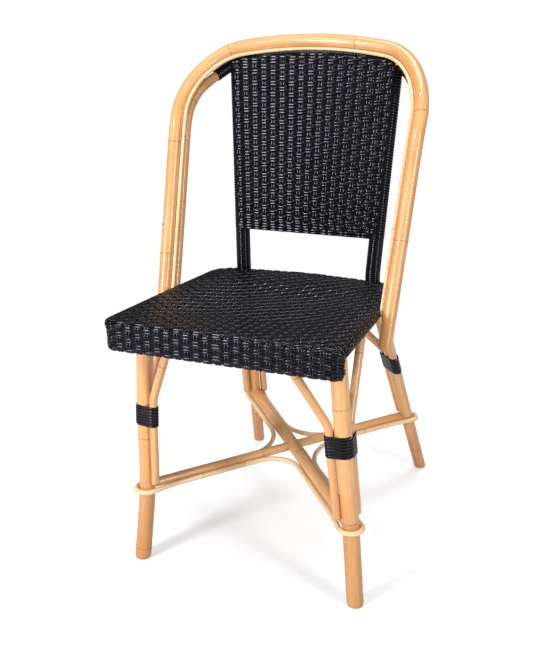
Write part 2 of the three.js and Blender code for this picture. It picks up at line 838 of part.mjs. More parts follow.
function outwardFacing(geometry) {
  const p = geometry.attributes.position;
  const index = geometry.index.array;
  const corner = (i) => vec(p.getX(index[i]), p.getY(index[i]), p.getZ(index[i]));
  let volume = 0;
  for (let i = 0; i < index.length; i += 3) {
    volume += corner(i).dot(corner(i + 1).cross(corner(i + 2)));
  }
  if (volume < 0) {
    for (let i = 0; i < index.length; i += 3) {
      [index[i], index[i + 1]] = [index[i + 1], index[i]];
    }
  }
  return geometry;
}

// The taut outline round several circles, drawn as a polygon that stands just outside it
function tautOutline(circles, count) {
  const step = (2 * Math.PI) / count;
  const reachAt = (angle) => Math.max(...circles.map(({ x, y, radius }) => (
    x * Math.cos(angle) + y * Math.sin(angle) + radius
  )));
  return Array.from({ length: count }, (_, i) => {
    const angle = i * step;
    const here = reachAt(angle);
    const slide = (reachAt(angle + step) - here * Math.cos(step)) / Math.sin(step);
    const out = angle + step / 2;
    return {
      x: here * Math.cos(angle) - slide * Math.sin(angle),
      y: here * Math.sin(angle) + slide * Math.cos(angle),
      outward: vec(Math.cos(out), Math.sin(out), 0).divideScalar(Math.cos(step / 2)),
    };
  });
}

function legBinding({ legPath, legRadius, slant }, sides, middle) {
  const reach = legRadius + braceRadius + fitGap * 2;
  const low = middle - (legCanePitch * legCaneTurns) / 2;
  const along = pointAtHeight(legPath, middle + legCanePitch)
    .sub(pointAtHeight(legPath, middle - legCanePitch)).normalize();
  const circles = [{ x: 0, y: 0, radius: legRadius }];
  for (const side of sides) {
    circles.push({ x: side.x * reach, y: side.y * reach, radius: braceRadius });
  }
  const outline = tautOutline(circles, stepsPerTurn);
  return windingGeometry((turn) => {
    const index = Math.round(turn * stepsPerTurn) % stepsPerTurn;
    const { x, y, outward } = outline[index];
    const centre = pointAtHeight(legPath, low).addScaledVector(along, turn * legCanePitch);
    return { surface: centre.add(vec(x, y * slant, 0)), outward, along };
  }, legCaneTurns, legCanePitch, legCaneWidth, caneThickness);
}

// A winding on one pole that follows its path from a given length on
function lengthsAlong(path) {
  const lengths = [0];
  for (let i = 1; i < path.length; i += 1) {
    lengths.push(lengths[i - 1] + path[i].distanceTo(path[i - 1]));
  }
  return lengths;
}

function poleWinding(path, radius, startLength, turns, pitch, width) {
  const lengths = lengthsAlong(path);
  const placeAt = (length) => {
    const found = lengths.findIndex((value, i) => i > 0 && value >= length);
    const k = found < 0 ? path.length - 1 : found;
    const share = (length - lengths[k - 1]) / (lengths[k] - lengths[k - 1]);
    const smooth = new PointPath(path);
    const last = path.length - 1;
    const tangent = smooth.getTangent((k - 1) / last).lerp(smooth.getTangent(k / last), share);
    return { point: path[k - 1].clone().lerp(path[k], share), tangent: tangent.normalize() };
  };
  const chord = radius / Math.cos(Math.PI / stepsPerTurn);
  return windingGeometry((turn) => {
    const { point, tangent } = placeAt(startLength + turn * pitch);
    const first = vec(0, 1, 0).addScaledVector(tangent, -tangent.y).normalize();
    const second = tangent.clone().cross(first);
    const angle = turn * 2 * Math.PI;
    const outward = first.multiplyScalar(Math.cos(angle)).addScaledVector(second, Math.sin(angle));
    return { surface: point.addScaledVector(outward, chord), outward, along: tangent };
  }, turns, pitch, width, caneThickness);
}

// Length along a path up to where a measure of its points first passes a value
function lengthTo(path, measure, value) {
  let length = 0;
  for (let i = 1; i < path.length; i += 1) {
    const before = measure(path[i - 1]) - value;
    const after = measure(path[i]) - value;
    const stretch = path[i].distanceTo(path[i - 1]);
    if (before <= 0 && after > 0) {
      return length - (stretch * before) / (after - before);
    }
    length += stretch;
  }
  return length;
}

const lengthAtHeight = (path, height) => lengthTo(path, (point) => point.z, height);

// On the hoop, counted from the right foot: where it comes in to a half width at the top
function lengthAtHalf(path, half) {
  const corner = path.findIndex((point) => point.z > hoopBendZ);
  const measure = (point) => (path.indexOf(point) < corner ? -Infinity : -point.x);
  return lengthTo(path, measure, -half);
}

function innerHoopAtHalf(half) {
  const index = innerHoopPath.findIndex((point) => point.z > hoopBendZ && point.x < half);
  const before = innerHoopPath[index - 1];
  const after = innerHoopPath[index];
  return before.clone().lerp(after, (half - before.x) / (after.x - before.x));
}

// Stretcher: one through pole, and two half poles that butt against it
const crossing = vec(0, crossingY, ringZ);
const legPathOf = (name) => {
  const path = name.startsWith('front') ? frontLegPath : rearPostPath;
  return name.endsWith('right') ? path : mirroredPoints(path);
};
const armEnd = (name) => pointAtHeight(legPathOf(name), ringZ);
const armRadius = {
  front_right: throughRadius,
  rear_right: halfRadius,
  rear_left: throughRadius,
  front_left: halfRadius,
};

// Trim canes: along both sides of each arm, round each leg and across each corner
const trimZ = ringZ - trimDrop;
const trimCentre = vec(0, crossingY, trimZ);
const trimLeg = (name) => pointAtHeight(legPathOf(name), trimZ);
const armDirection = (name) => armEnd(name).sub(crossing).normalize();
const onLeft = (direction) => vec(-direction.y, direction.x, 0);
const trimReach = (name) => Math.sqrt((armRadius[name] + trimRadius + fitGap) ** 2 - trimDrop ** 2);

// A point beside an arm: side is 1 on its left and -1 on its right, seen from the crossing
function besideArm(name, reach, side) {
  const direction = armDirection(name);
  return trimCentre.clone()
    .addScaledVector(direction, reach)
    .addScaledVector(onLeft(direction), side * trimReach(name));
}

function ringRound(name) {
  const front = name.startsWith('front');
  const direction = armDirection(name);
  const side = onLeft(direction);
  const leg = trimLeg(name);
  const legReach = front ? frontLegRadius : rearPostRadius * rearSlant;
  const caneReach = (trimRadius + fitGap) * rearSlant;
  const radius = (legReach + caneReach) / Math.cos((ringSweep / ringSteps) * degrees);
  const arc = Array.from({ length: ringSteps + 1 }, (_, i) => {
    const angle = ringSweep * ((2 * i) / ringSteps - 1) * degrees;
    return leg.clone()
      .addScaledVector(direction, radius * Math.cos(angle))
      .addScaledVector(side, radius * Math.sin(angle));
  });
  const reach = leg.distanceTo(trimCentre) - trimStraightenReach;
  return [besideArm(name, reach, -1), ...arc, besideArm(name, reach, 1)];
}

// The rounded corner of the cane between two neighbouring arms, anticlockwise from above
function trimCorner(from, to, radius) {
  const a = armDirection(from);
  const b = armDirection(to);
  const opening = a.angleTo(b);
  const vertex = trimCentre.clone()
    .addScaledVector(a, trimReach(to) / Math.sin(opening))
    .addScaledVector(b, trimReach(from) / Math.sin(opening));
  const tangent = radius / Math.tan(opening / 2);
  const start = vertex.clone().addScaledVector(a, tangent * 2);
  const end = vertex.clone().addScaledVector(b, tangent * 2);
  return filletPath([{ at: start }, { at: vertex, radius, steps: 8 }, { at: end }]).slice(1, -1);
}

// Two long canes with two joints, one beside the front left arm, one beside the rear right arm
const frontTrimPath = [
  besideArm('front_left', trimJointReach, 1),
  ...trimCorner('front_left', 'front_right', frontTrimRadius),
  ...ringRound('front_right'),
  ...trimCorner('front_right', 'rear_right', sideTrimRadius),
  besideArm('rear_right', trimJointRearReach, -1),
];
const rearTrimPath = [
  besideArm('rear_right', trimJointRearReach + fitGap, -1),
  ...ringRound('rear_right'),
  ...trimCorner('rear_right', 'rear_left', rearTrimRadius),
  ...ringRound('rear_left'),
  ...trimCorner('rear_left', 'front_left', sideTrimRadius),
  ...ringRound('front_left'),
  besideArm('front_left', trimJointReach + fitGap, 1),
];

// A nail stands on the hoop: head outside, shank in towards the other poles
function nailGeometry({ placeShare, angle, length }, allowance) {
  const lengths = lengthsAlong(hoopPath);
  const place = lengths.at(-1) * placeShare;
  const next = lengths.findIndex((value) => value >= place);
  const { inward, backward } = hoopFrame(hoopPath, next - 1);
  const turned = angle * degrees;
  const into = inward.multiplyScalar(Math.cos(turned)).addScaledVector(backward, Math.sin(turned));
  const profile = [
    [0, -length - allowance],
    [nailShankRadius + allowance, -length - allowance],
    [nailShankRadius + allowance, 0],
    [nailHeadRadius + allowance, 0],
    [nailHeadRadius + allowance, nailHeadHeight / 2],
    [0, nailHeadHeight],
  ];
  const geometry = new THREE.LatheGeometry(profile.map(([x, y]) => new THREE.Vector2(x, y)), 8);
  const up = into.clone().negate();
  const turn = new THREE.Quaternion().setFromUnitVectors(vec(0, 1, 0), up);
  geometry.applyQuaternion(turn);
  const share = (place - lengths[next - 1]) / (lengths[next] - lengths[next - 1]);
  const point = hoopPath[next - 1].clone().lerp(hoopPath[next], share);
  const seat = point.addScaledVector(up, outerHoopRadius + fitGap);
  geometry.translate(seat.x, seat.y, seat.z);
  return geometry;
}

// Poles, a little thicker, that cut others to fit against them
function grown(path, radius, sides = 14) {
  return pole(path, (radius + fitGap) / Math.cos(Math.PI / sides), sides);
}

function extended(path, length) {
  const first = path[0].clone().sub(path[1]).setLength(length).add(path[0]);
  const end = path.length - 1;
  const last = path[end].clone().sub(path[end - 1]).setLength(length).add(path[end]);
  return [first, ...path.slice(1, end), last];
}

const frontLegBody = legGeometry(frontLegPath, frontLegRadius, 14);
const rearPostBody = legGeometry(rearPostPath, rearPostRadius, 14);
const railCutters = Object.values(railLayers).flatMap((layer) => [
  grown(extended(sideRailPath(layer), layer.radius), layer.radius),
  grown(extended(frontRailPath(layer), layer.radius), layer.radius),
]);
const innerHoopCutter = grown(innerHoopPath, innerHoopRadius);
const frontLegCutter = grown(frontLegPath, frontLegRadius);
const rearPostCutter = grown(extended(rearPostPath, fitGap), rearPostRadius);
const frontLeg = cut(frontLegBody, ...railCutters);
const rearPost = cut(rearPostBody, innerHoopCutter);

addPiece('front_leg_right', frontLeg, finish(rattan, 0.45));
addPiece('front_leg_left', mirrored(frontLeg), finish(rattan, 0.45));
addPiece('rear_post_right', rearPost, finish(rattan, 0.45));
addPiece('rear_post_left', mirrored(rearPost), finish(rattan, 0.45));

const seatRoom = seatEnvelope();
const nailHoles = Object.values(nails).map((nail) => nailGeometry(nail, fitGap));
addPiece('outer_hoop', cut(pole(hoopPath, outerHoopRadius, 14), ...nailHoles), finish(rattan, 0.4));
addPiece(
  'inner_hoop',
  cut(pole(innerHoopPath, innerHoopRadius, 12), ...nailHoles, seatRoom),
  finish(rattan, 0.4),
);
addPiece('hoop_infill_cane', cut(pole(infillPath, infillRadius, 6), seatRoom), finish(paleCane, 0.5));
for (const [name, nail] of Object.entries(nails)) {
  addPiece(`hoop_nail_${name}`, geometryOf(solid(nailGeometry(nail, 0))), finish(steel, 0.3, 1));
}

// Seat frame
for (const [name, layer] of Object.entries(railLayers)) {
  addPiece(`seat_front_${name}_rail`, pole(frontRailPath(layer), layer.radius, 8), finish(rattan, 0.6));
  const sideRail = cut(pole(sideRailPath(layer), layer.radius, 8), rearPostCutter);
  addPiece(`seat_side_${name}_rail_right`, sideRail, finish(rattan, 0.6));
  addPiece(`seat_side_${name}_rail_left`, mirrored(sideRail), finish(rattan, 0.6));
  const rearRail = cut(pole(rearRailPath(layer), layer.radius, 8), rearPostCutter, mirrored(rearPostCutter));
  addPiece(`seat_rear_${name}_rail`, rearRail, finish(rattan, 0.6));
}
for (const [name, drop] of Object.entries(apronRailDrops)) {
  addPiece(`seat_apron_rail_${name}`, pole(apronRailPath(drop), rimRailRadius, 8), finish(rattan, 0.6));
}

// The apron's ends give way to the rim's rail, and its room opens the rim above it
const rimRailRoom = grown(
  frontRailPath(railLayers.rim), rimRailRadius + railClearance - fitGap, 8);
const apron = cut(apronBlock(), apronRoom(), rimRailRoom);
const seatShell = solid(cut(seatWeaveGeometry(), apronRoom())).add(solid(apron));
const seatWeave = cut(
  geometryOf(seatShell),
  frontLegCutter,
  mirrored(frontLegCutter),
  rearPostCutter,
  mirrored(rearPostCutter),
);
addPiece('seat_weave', seatWeave, finish(blackCane, 0.35));

// Braces, with their tops cut to the underside of the seat
for (const [name, path] of Object.entries(bracePaths)) {
  const brace = cut(pole(path, braceRadius, 8), seatRoom);
  addPiece(`brace_${name}_right`, brace, finish(rattan, 0.45));
  addPiece(`brace_${name}_left`, mirrored(brace), finish(rattan, 0.45));
}

// Stretcher
const through = [armEnd('rear_left'), crossing, armEnd('front_right')];
const throughCutter = grown(through, throughRadius);
addPiece(
  'stretcher_through',
  cut(pole(through, throughRadius, 14), frontLegCutter, mirrored(rearPostCutter)),
  finish(rattan, 0.45),
);
addPiece(
  'stretcher_half_front_left',
  cut(pole([crossing, armEnd('front_left')], halfRadius, 12), throughCutter, mirrored(frontLegCutter)),
  finish(rattan, 0.45),
);
addPiece(
  'stretcher_half_rear_right',
  cut(pole([crossing, armEnd('rear_right')], halfRadius, 12), throughCutter, rearPostCutter),
  finish(rattan, 0.45),
);
addPiece('trim_cane_front', pole(frontTrimPath, trimRadius, 6), finish(paleCane, 0.5));
addPiece('trim_cane_rear', pole(rearTrimPath, trimRadius, 6), finish(paleCane, 0.5));

// Bindings round each leg and its two braces
const frontSides = [frontInnerSide, frontBackSide];
const rearSides = [rearInnerSide, rearFrontSide];
const frontBinding = legBinding(frontLegFacts, frontSides, frontWindingZ);
const rearBinding = legBinding(rearLegFacts, rearSides, rearWindingZ);
addPiece('binding_front_leg_right', frontBinding, finish(blackCane, 0.3));
addPiece('binding_front_leg_left', mirrored(frontBinding), finish(blackCane, 0.3));
addPiece('binding_rear_leg_right', rearBinding, finish(blackCane, 0.3));
addPiece('binding_rear_leg_left', mirrored(rearBinding), finish(blackCane, 0.3));

// Back panel: bottom bar, then the web with its sleeves
const postAtBar = pointAtHeight(rearPostPath, backBarZ);
const backBarPath = mirroredPoints([postAtBar]).concat(postAtBar);
addPiece(
  'back_bottom_bar',
  cut(pole(backBarPath, backRailRadius, 12), rearPostCutter, mirrored(rearPostCutter)),
  finish(rattan, 0.5),
);

const panelSleeve = (path, radius) => solid(pole(path, radius + fitGap + panelSkin, 12));
const postSleeveFoot = pointAtHeight(rearPostPath, backBarZ - backRailRadius - panelSkin);
const postSleeveTop = postTop.clone()
  .add(postTop.clone().sub(postSleeveFoot).setLength(panelSkin * 2));
const postSleevePath = [postSleeveFoot, postSleeveTop];
const panelTopHalf = postTopX + panelTopReach;
const crownPath = innerHoopPath.filter((point) => Math.abs(point.x) < panelTopHalf && point.z > innerJoinZ);
const topSleevePath = [
  innerHoopAtHalf(panelTopHalf),
  ...crownPath,
  innerHoopAtHalf(-panelTopHalf),
];

// In the plane of the panel: across it, forwards out of it and up along it
const panelTilt = Math.atan(backLean);
const panelUp = vec(0, Math.sin(panelTilt), Math.cos(panelTilt));
const panelForward = vec(0, -Math.cos(panelTilt), Math.sin(panelTilt));
const panelHeight = (z) => (z - postBendZ) / Math.cos(panelTilt);

// Everything between the middle lines of the poles
function panelOutline() {
  const flat = (point) => new THREE.Vector2(point.x, panelHeight(point.z));
  const crown = crownPath.filter((point) => Math.abs(point.x) < postTopX);
  const outline = [...backBarPath, postTop, ...crown, ...mirroredPoints([postTop])];
  const geometry = new THREE.ExtrudeGeometry(new THREE.Shape(outline.map(flat)), {
    depth: panelWebForward + panelWebThickness,
    bevelEnabled: false,
  });
  geometry.applyMatrix4(new THREE.Matrix4().makeBasis(vec(1, 0, 0), panelUp, panelForward));
  geometry.translate(0, postBendY, postBendZ);
  return solid(geometry);
}

// A slab with a shallow rib for each pair of upright canes, which spread towards the top as the posts do
function panelRibs() {
  const low = panelHeight(backBarZ) - cutOverrun;
  const high = panelHeight(hoopCrownZ) + cutOverrun;
  const halfAt = (height) => (
    postBendX + (postTopX - postBendX) * (height / panelHeight(postTopZ))
  );
  const pitch = halfAt(low) / panelColumns;
  const face = panelWebThickness / 2;
  const front = [];
  for (let column = -panelColumns; column <= panelColumns; column += 1) {
    const x = column * pitch;
    front.push(
      new THREE.Vector2(x - pitch * panelRibFootShare, face - panelGroove),
      new THREE.Vector2(x - pitch * panelRibTopShare, face),
      new THREE.Vector2(x + pitch * panelRibTopShare, face),
      new THREE.Vector2(x + pitch * panelRibFootShare, face - panelGroove),
    );
  }
  const back = front.map((point) => new THREE.Vector2(point.x, -point.y)).reverse();
  const section = new THREE.Shape([...front, ...back]);
  const geometry = new THREE.ExtrudeGeometry(section, { depth: high - low, bevelEnabled: false });
  const position = geometry.attributes.position;
  for (let i = 0; i < position.count; i += 1) {
    const spread = halfAt(low + position.getZ(i)) / halfAt(low);
    position.setX(i, position.getX(i) * spread);
  }
  const behind = panelForward.clone().negate();
  geometry.applyMatrix4(new THREE.Matrix4().makeBasis(vec(1, 0, 0), behind, panelUp));
  const start = panelForward.clone().multiplyScalar(panelWebForward).addScaledVector(panelUp, low);
  geometry.translate(start.x, start.y + postBendY, start.z + postBendZ);
  return solid(geometry);
}

const panelWeb = panelRibs().intersect(panelOutline());
const backWeave = [
  panelSleeve(postSleevePath, rearPostRadius),
  panelSleeve(mirroredPoints(postSleevePath), rearPostRadius),
  panelSleeve(topSleevePath, innerHoopRadius),
  panelSleeve(backBarPath, backRailRadius),
].reduce((body, sleeve) => body.add(sleeve), panelWeb);
const panelCutters = [
  rearPostCutter,
  mirrored(rearPostCutter),
  innerHoopCutter,
  grown(hoopPath, outerHoopRadius),
  grown(infillPath, infillRadius),
  grown(backBarPath, backRailRadius),
];
addPiece('back_weave', cut(geometryOf(backWeave), ...panelCutters), finish(blackCane, 0.35));

// Windings on the posts below the panel and on the inner hoop beside it
const postWindingStart = lengthAtHeight(rearPostPath, postCaneStartZ);
const postWinding = poleWinding(
  rearPostPath, rearPostRadius, postWindingStart, postCaneTurns, postCanePitch, postCaneWidth);
addPiece('winding_rear_post_right', postWinding, finish(blackCane, 0.3));
addPiece('winding_rear_post_left', mirrored(postWinding), finish(blackCane, 0.3));
const sleeveHalf = postTopX + rearPostRadius + panelSkin;
const hoopWindingEnd = lengthAtHalf(innerHoopPath, sleeveHalf) - hoopCaneWidth * 3;
const hoopWinding = poleWinding(
  innerHoopPath,
  innerHoopRadius,
  hoopWindingEnd - hoopCaneTurns * hoopCanePitch,
  hoopCaneTurns,
  hoopCanePitch,
  hoopCaneWidth,
);
addPiece('winding_hoop_corner_right', hoopWinding, finish(blackCane, 0.3));
addPiece('winding_hoop_corner_left', mirrored(hoopWinding), finish(blackCane, 0.3));

console.log(`least gap between turns: ${leastWindingGap.toFixed(2)} mm`);

export default chair;
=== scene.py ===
"""Looks of the rattan bistro chair: poles with nodes and grain, and each cane of the weave as a strand."""

import math

import bpy
import numpy as np
from mathutils import Matrix


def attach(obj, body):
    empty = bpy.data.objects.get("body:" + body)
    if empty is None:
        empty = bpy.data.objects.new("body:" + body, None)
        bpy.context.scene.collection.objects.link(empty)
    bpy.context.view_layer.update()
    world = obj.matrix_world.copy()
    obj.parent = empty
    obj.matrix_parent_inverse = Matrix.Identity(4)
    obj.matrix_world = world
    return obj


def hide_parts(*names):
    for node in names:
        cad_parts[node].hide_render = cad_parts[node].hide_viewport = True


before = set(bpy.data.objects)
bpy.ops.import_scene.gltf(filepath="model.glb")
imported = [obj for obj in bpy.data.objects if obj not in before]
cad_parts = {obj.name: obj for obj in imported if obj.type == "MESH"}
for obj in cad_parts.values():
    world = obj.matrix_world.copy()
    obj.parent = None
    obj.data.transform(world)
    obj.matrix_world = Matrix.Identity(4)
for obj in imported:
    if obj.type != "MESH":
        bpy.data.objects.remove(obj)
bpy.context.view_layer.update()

# Lengths are in millimetres, as in the frame's source, and meshes are made in metres
MM = 0.001
FRAME_SHIFT_Y = 31.228
FIT_GAP = 0.3

# Poles
FRONT_LEG_RADIUS = 14.0
REAR_POST_RADIUS = 11.6
OUTER_HOOP_RADIUS = 11.5
INNER_HOOP_RADIUS = 8.5
INFILL_RADIUS = 3.2
RIM_RAIL_RADIUS = 7.2
BEARER_RADIUS = 6.0
BACK_RAIL_RADIUS = 8.0
BRACE_RADIUS = 7.0
THROUGH_RADIUS = 12.0
HALF_RADIUS = 8.2
TRIM_RADIUS = 4.4

# How a pole grows: swollen at its nodes with a groove beside each, and a little uneven between them
SWELL_SHARE = 0.034
SWELL_LENGTH = 5.0
GROOVE_SHARE = 0.016
GROOVE_OFFSET = 0.4
GROOVE_LENGTH = 0.9
SCAR_LENGTH = 1.6
NODE_STEPS = (-6, -4, -2.5, -1.2, -0.4, 0.4, 1.2, 2.2, 4, 6)
UNEVEN_WAVES = ((0.006, 47.0), (0.005, 23.0))    # share of the radius, and length
FIRST_NODE_FROM = 40.0
NODE_END_CLEARANCE = 25.0

# The worn edge of a foot: along the pole, above the floor, and in from the pole's side
FOOT_LENGTHS = (1.4, 9.0)
FOOT_HEIGHTS = (0.0, 1.2, 5.5)
FOOT_INSETS = (3.0, 1.1, 0.0)
FOOT_CLEARANCE = 5.0

# Legs and posts
FRONT_FOOT = (198.5, -250.0, 0.0)
FRONT_RING = (185.5, -239.0, 143.0)
FRONT_BINDING = (175.5, -246.0, 285.0)
FRONT_TOP = (163.0, -247.0, 458.0)
REAR_FOOT = (183.0, 250.0, 0.0)
POST_BEND = (124.5, 64.0, 452.0)
POST_BEND_RADIUS = 80.0
POST_TOP_X = 145.5
POST_TOP_Z = 828.0
BACK_LEAN = 0.125
RING_Z = 143.0
FRONT_BINDING_Z = 285.0
REAR_BINDING_Z = 274.0
FRONT_LEG_NODES = ((150, 352), (22, 243))    # right and left, as lengths from the foot
REAR_POST_NODES = ((60, 262), (96, 300))

# Seat
SEAT_FRONT_Y = -325.0
SEAT_REAR_Y = 66.0
SEAT_FRONT_HALF = 201.0
SEAT_REAR_HALF = 178.0
SEAT_SIDE_BOW = 1.5
SEAT_REAR_BOW = 18.0
SEAT_FRONT_CORNER = 21.0
SEAT_REAR_CORNER = 52.0
SEAT_TOP_Z = 476.0
SEAT_SLOPE = 0.05
SEAT_HEIGHT = 20.8
SEAT_ROUND = 9.6
SEAT_SIDE_EASE_SHARE = 1.5     # of the seat's depth
SEAT_SKIN = 2.4
SEAT_LIP = 17.0
APRON_HEIGHT = 52.0
APRON_DEPTH = 20.8
APRON_END_INSET = 4.0
APRON_END_EASE = 8.0
APRON_REAR_CORNER = 4.0
APRON_FOOT_ROUND = 8.0
APRON_RAIL_END_INSET = 22.0
SEAT_DISH = 9.0
SEAT_DISH_FLAT_SHARE = 0.35
SEAT_DISH_POWER = 5
RAIL_CLEARANCE = 0.8
RAIL_BEND_SHARE = 1.5      # of a rail's radius
OUTLINE_STEP = 2.0
MIDDLE_INSET = 1.5         # of the middle of the weave, from the skin's surface

# Hoops
HOOP_FOOT_Z = 403.0
HOOP_FOOT_HALF = 202.0
HOOP_CORNER_HALF = 220.0
HOOP_CORNER_Z = 841.0
HOOP_CROWN_Z = 871.5
HOOP_CORNER_RADIUS = 102.0
HOOP_CROWN_RADIUS = 890.0
HOOP_SIDE_Y = -98.0
HOOP_SIDE_Z = 470.0
HOOP_LEAN = 0.354
HOOP_BEND_Z = 716.0
HOOP_SETBACK = 92.0
HOOP_STEP = 4.0
HOOP_NODES = [175.9, 382.9, 607.8, 843.9, 1050.3, 1246.1]    # lengths from its right foot
INNER_HOOP_ANGLE = 55.0
INNER_FOOT_Z = 451.0
INNER_CORNER_DROP = 22.0
INNER_CROWN_DROP = 25.5
INNER_CORNER_RADIUS = 87.0
INNER_LEAVE_Z = 780.0
INNER_JOIN_Z = 825.0
INFILL_LEG_ANGLE = 10.0
INFILL_CROWN_ANGLE = -33.0

# Back panel
BACK_BAR_Z = 540.5
WEB_DEPTH = 12.9           # of the woven web, in front of the middle lines of the posts
WEB_ABOVE_BAR = 9.0
WEB_BELOW_CROWN = 5.0
BAR_STAND_OFF = 1.6
CROWN_STAND_OFF = 1.2
BAR_TURN = (-120.0, 80.0, 16)          # angles from and to, and how many
CROWN_TURN = (25.0, 215.0, 15)
POST_TURN = (78.0, -196.0, -12.0)      # angles from and to, and the step between two
POST_TOP_MARGIN = 2.0
POST_INSET = 2.0
FIRST_ROW_DROP = 4.0
LAST_ROW_RISE = 1.0
FEWEST_ROW_POINTS = 8
WEB_SLACK = 1.0
WEB_FRONT_DEPTH = 2.0
CROWN_Z_FROM = 800.0
CROWN_HALF = 175.0
CROWN_SAMPLES = 200
CROWN_OVERLAP = 2.5
SHORTEST_ROW_HALF = 12.0
ROW_END_REACHES = (1.5, 2.5, 3.0)
ROW_END_DEPTHS = (1.5, 4.5, 7.5)
ROW_END_EASE = 9.0
COLUMN_END_EASE = 12.0
COLUMN_AIM_DROP = 8.0

# Braces
FRONT_MEET_Z = 318.0
REAR_MEET_Z = 299.0
FRONT_BRACE_BEND = 40.0
REAR_BRACE_BEND = 15.0
BRACE_END_Z = 153.0
REAR_BRACE_END_Z = 147.0
FRONT_BRACE_TOP = (85.0, -300.0)
FRONT_SIDE_BRACE_TOP = (172.0, -142.0)
REAR_BRACE_TOP = (10.0, 64.0)
REAR_SIDE_BRACE_TOP = (180.0, -63.0)
BRACE_TOP_REACH = 8.0
FRONT_INNER_ANGLE = 180.0 + 22.0
FRONT_SIDE_ANGLE = 90.0 - 14.0
REAR_INNER_ANGLE = 180.0 - 33.0
REAR_SIDE_ANGLE = -90.0 + 31.0
BRACE_STEPS = 9
BRACE_STEP = 1.0
LEFT_NODE_SHIFT = 17.0

# Stretcher and trim canes
CROSSING_Y = -11.0
HALF_START = 4.0
TRIM_DROP = 6.0
FRONT_TRIM_RADIUS = 50.0
SIDE_TRIM_RADIUS = 102.0
REAR_TRIM_RADIUS = 72.0
TRIM_JOINT_REACH = 108.0
TRIM_JOINT_REAR_REACH = 212.0
TRIM_STRAIGHTEN_REACH = 48.0
TRIM_STEP = 3.0
RING_SWEEP = 84.0
RING_STEPS = 25

# Canes of the weave: half-round strands, laid in pairs
STRAND_THICKNESS = 1.5
STRAND_PROFILE = np.array([
    (-0.5, -0.5), (-0.42, 0.15), (-0.24, 0.43), (0.0, 0.5), (0.24, 0.43), (0.42, 0.15), (0.5, -0.5)])
PAIR = (-0.5, 0.5)         # of strands, each half a spacing from the middle
WEAVE_SWING = 0.85         # how far a strand rides above or below the middle of the weave
WEAVE_STEEPNESS = 2.1      # a strand lies flat over a crossing and steps down between two
SEAT_COLUMN_PITCH = 16.8
SEAT_COLUMNS = range(-11, 12)
SEAT_ROW_PITCH = 11.0
SEAT_SPACING = 4.9
SEAT_STRAND_WIDTH = 4.95
SEAT_FIRST_ROW_INSET = 14.0
SEAT_LAST_ROW_INSET = 5.0
SEAT_TUCK_SLANT = 0.7      # a strand that meets the rim at more of a slant tucks under
SEAT_TUCK_STEPS = 3
SEAT_TUCK_DROP = 1.2
SEAT_LINE_REACH = 1.6
CROSSING_MARGIN = 2.0
FIRST_RING = 5.0           # of the pairs of strands round the rim, from the flat top
RING_PITCH = 9.4
LAST_RING_SHIFT = 0.6
RING_PAIR_REACH = 7.5
RING_OVERLAP = 8.0
APRON_RING_INSET = 1.0
APRON_SIDE_SHARE = 0.3
APRON_BACK_STEPS = 140
PANEL_COLUMN_COUNT = 8     # pairs on each side of the middle one
PANEL_COLUMNS = range(-PANEL_COLUMN_COUNT, PANEL_COLUMN_COUNT + 1)
PANEL_ROW_PITCH = 9.5
PANEL_SPACING = 4.75
PANEL_STRAND_WIDTH = 4.75
SAMPLE_STEP = 2.6
ROW_STEP = SAMPLE_STEP * 0.9
WEB_STEP = SAMPLE_STEP * 0.8
COLUMN_STEP = SAMPLE_STEP * 0.6

# Canes wound round poles
WINDING_LIFT = 0.3         # over the pole, which isn't quite round
WINDING_SINK = 1.6         # of the ends, into the pole
WINDING_SINK_TURNS = 0.3
WINDING_STEPS = 30         # points in a turn
WINDING_PATH_STEP = 2.0
POST_WINDING_Z = 452.0
POST_WINDING_TOP_DROP = 3.0
POST_WINDING_PITCH = 3.45
POST_WINDING_WIDTH = 4.2
POST_WINDING_THICKNESS = 1.4
CORNER_WINDING_TURNS = 9
CORNER_WINDING_PITCH = 4.6
CORNER_WINDING_WIDTH = 5.2
CORNER_WINDING_CLEARANCE = 3.0
CORNER_WINDING_OVERLAP = 9.0
CROWN_WINDING_PITCH = 4.7
CROWN_WINDING_OVERLAP = 0.2
CROWN_WINDING_THICKNESS = 1.0
CROWN_WINDING_REACH = 20.0
CROWN_WINDING_Z = 790.0
CROWN_WINDING_STEPS = 20
BINDING_TURNS = 7
BINDING_PITCH = 5.4
BINDING_WIDTH = 5.5
BINDING_THICKNESS = 1.7
BINDING_STEPS = 64
BINDING_DIRECTIONS = 180   # tried to find the taut outline
BINDING_SINK = 2.2
BINDING_SINK_TURNS = 0.12
BINDING_SLANT_REACH = 12.0

# Noises of the materials: scale, detail and roughness
POLE_NOISES = (            # clouds, streaks, fibres and specks
    ((0.06, 0.06, 0.011), 3.0, 0.5),
    ((0.55, 0.55, 0.012), 5.0, 0.6),
    ((2.4, 2.4, 0.03), 2.0, 0.6),
    ((0.42, 0.42, 0.16), 4.0, 0.75),
)
CANE_NOISES = (((1.6, 1.0, 0.035), 3.0, 0.6), ((0.2, 1.0, 0.02), 2.0, 0.5))    # streaks and patches
STEEL_NOISE = ((900.0, 900.0, 900.0), 3.0, 0.6)
PORE_SCALE = 1.1
VARNISH_IOR = 1.5
# Painted shade low on the legs: their colour is multiplied darker towards the foot, fading out higher up
FOOT_SHADE_FROM = 60.0
FOOT_SHADE_TO = 300.0
FOOT_SHADE_MOST = 0.9
FOOT_SHADE_COLOUR = (0.77, 0.69, 0.62)

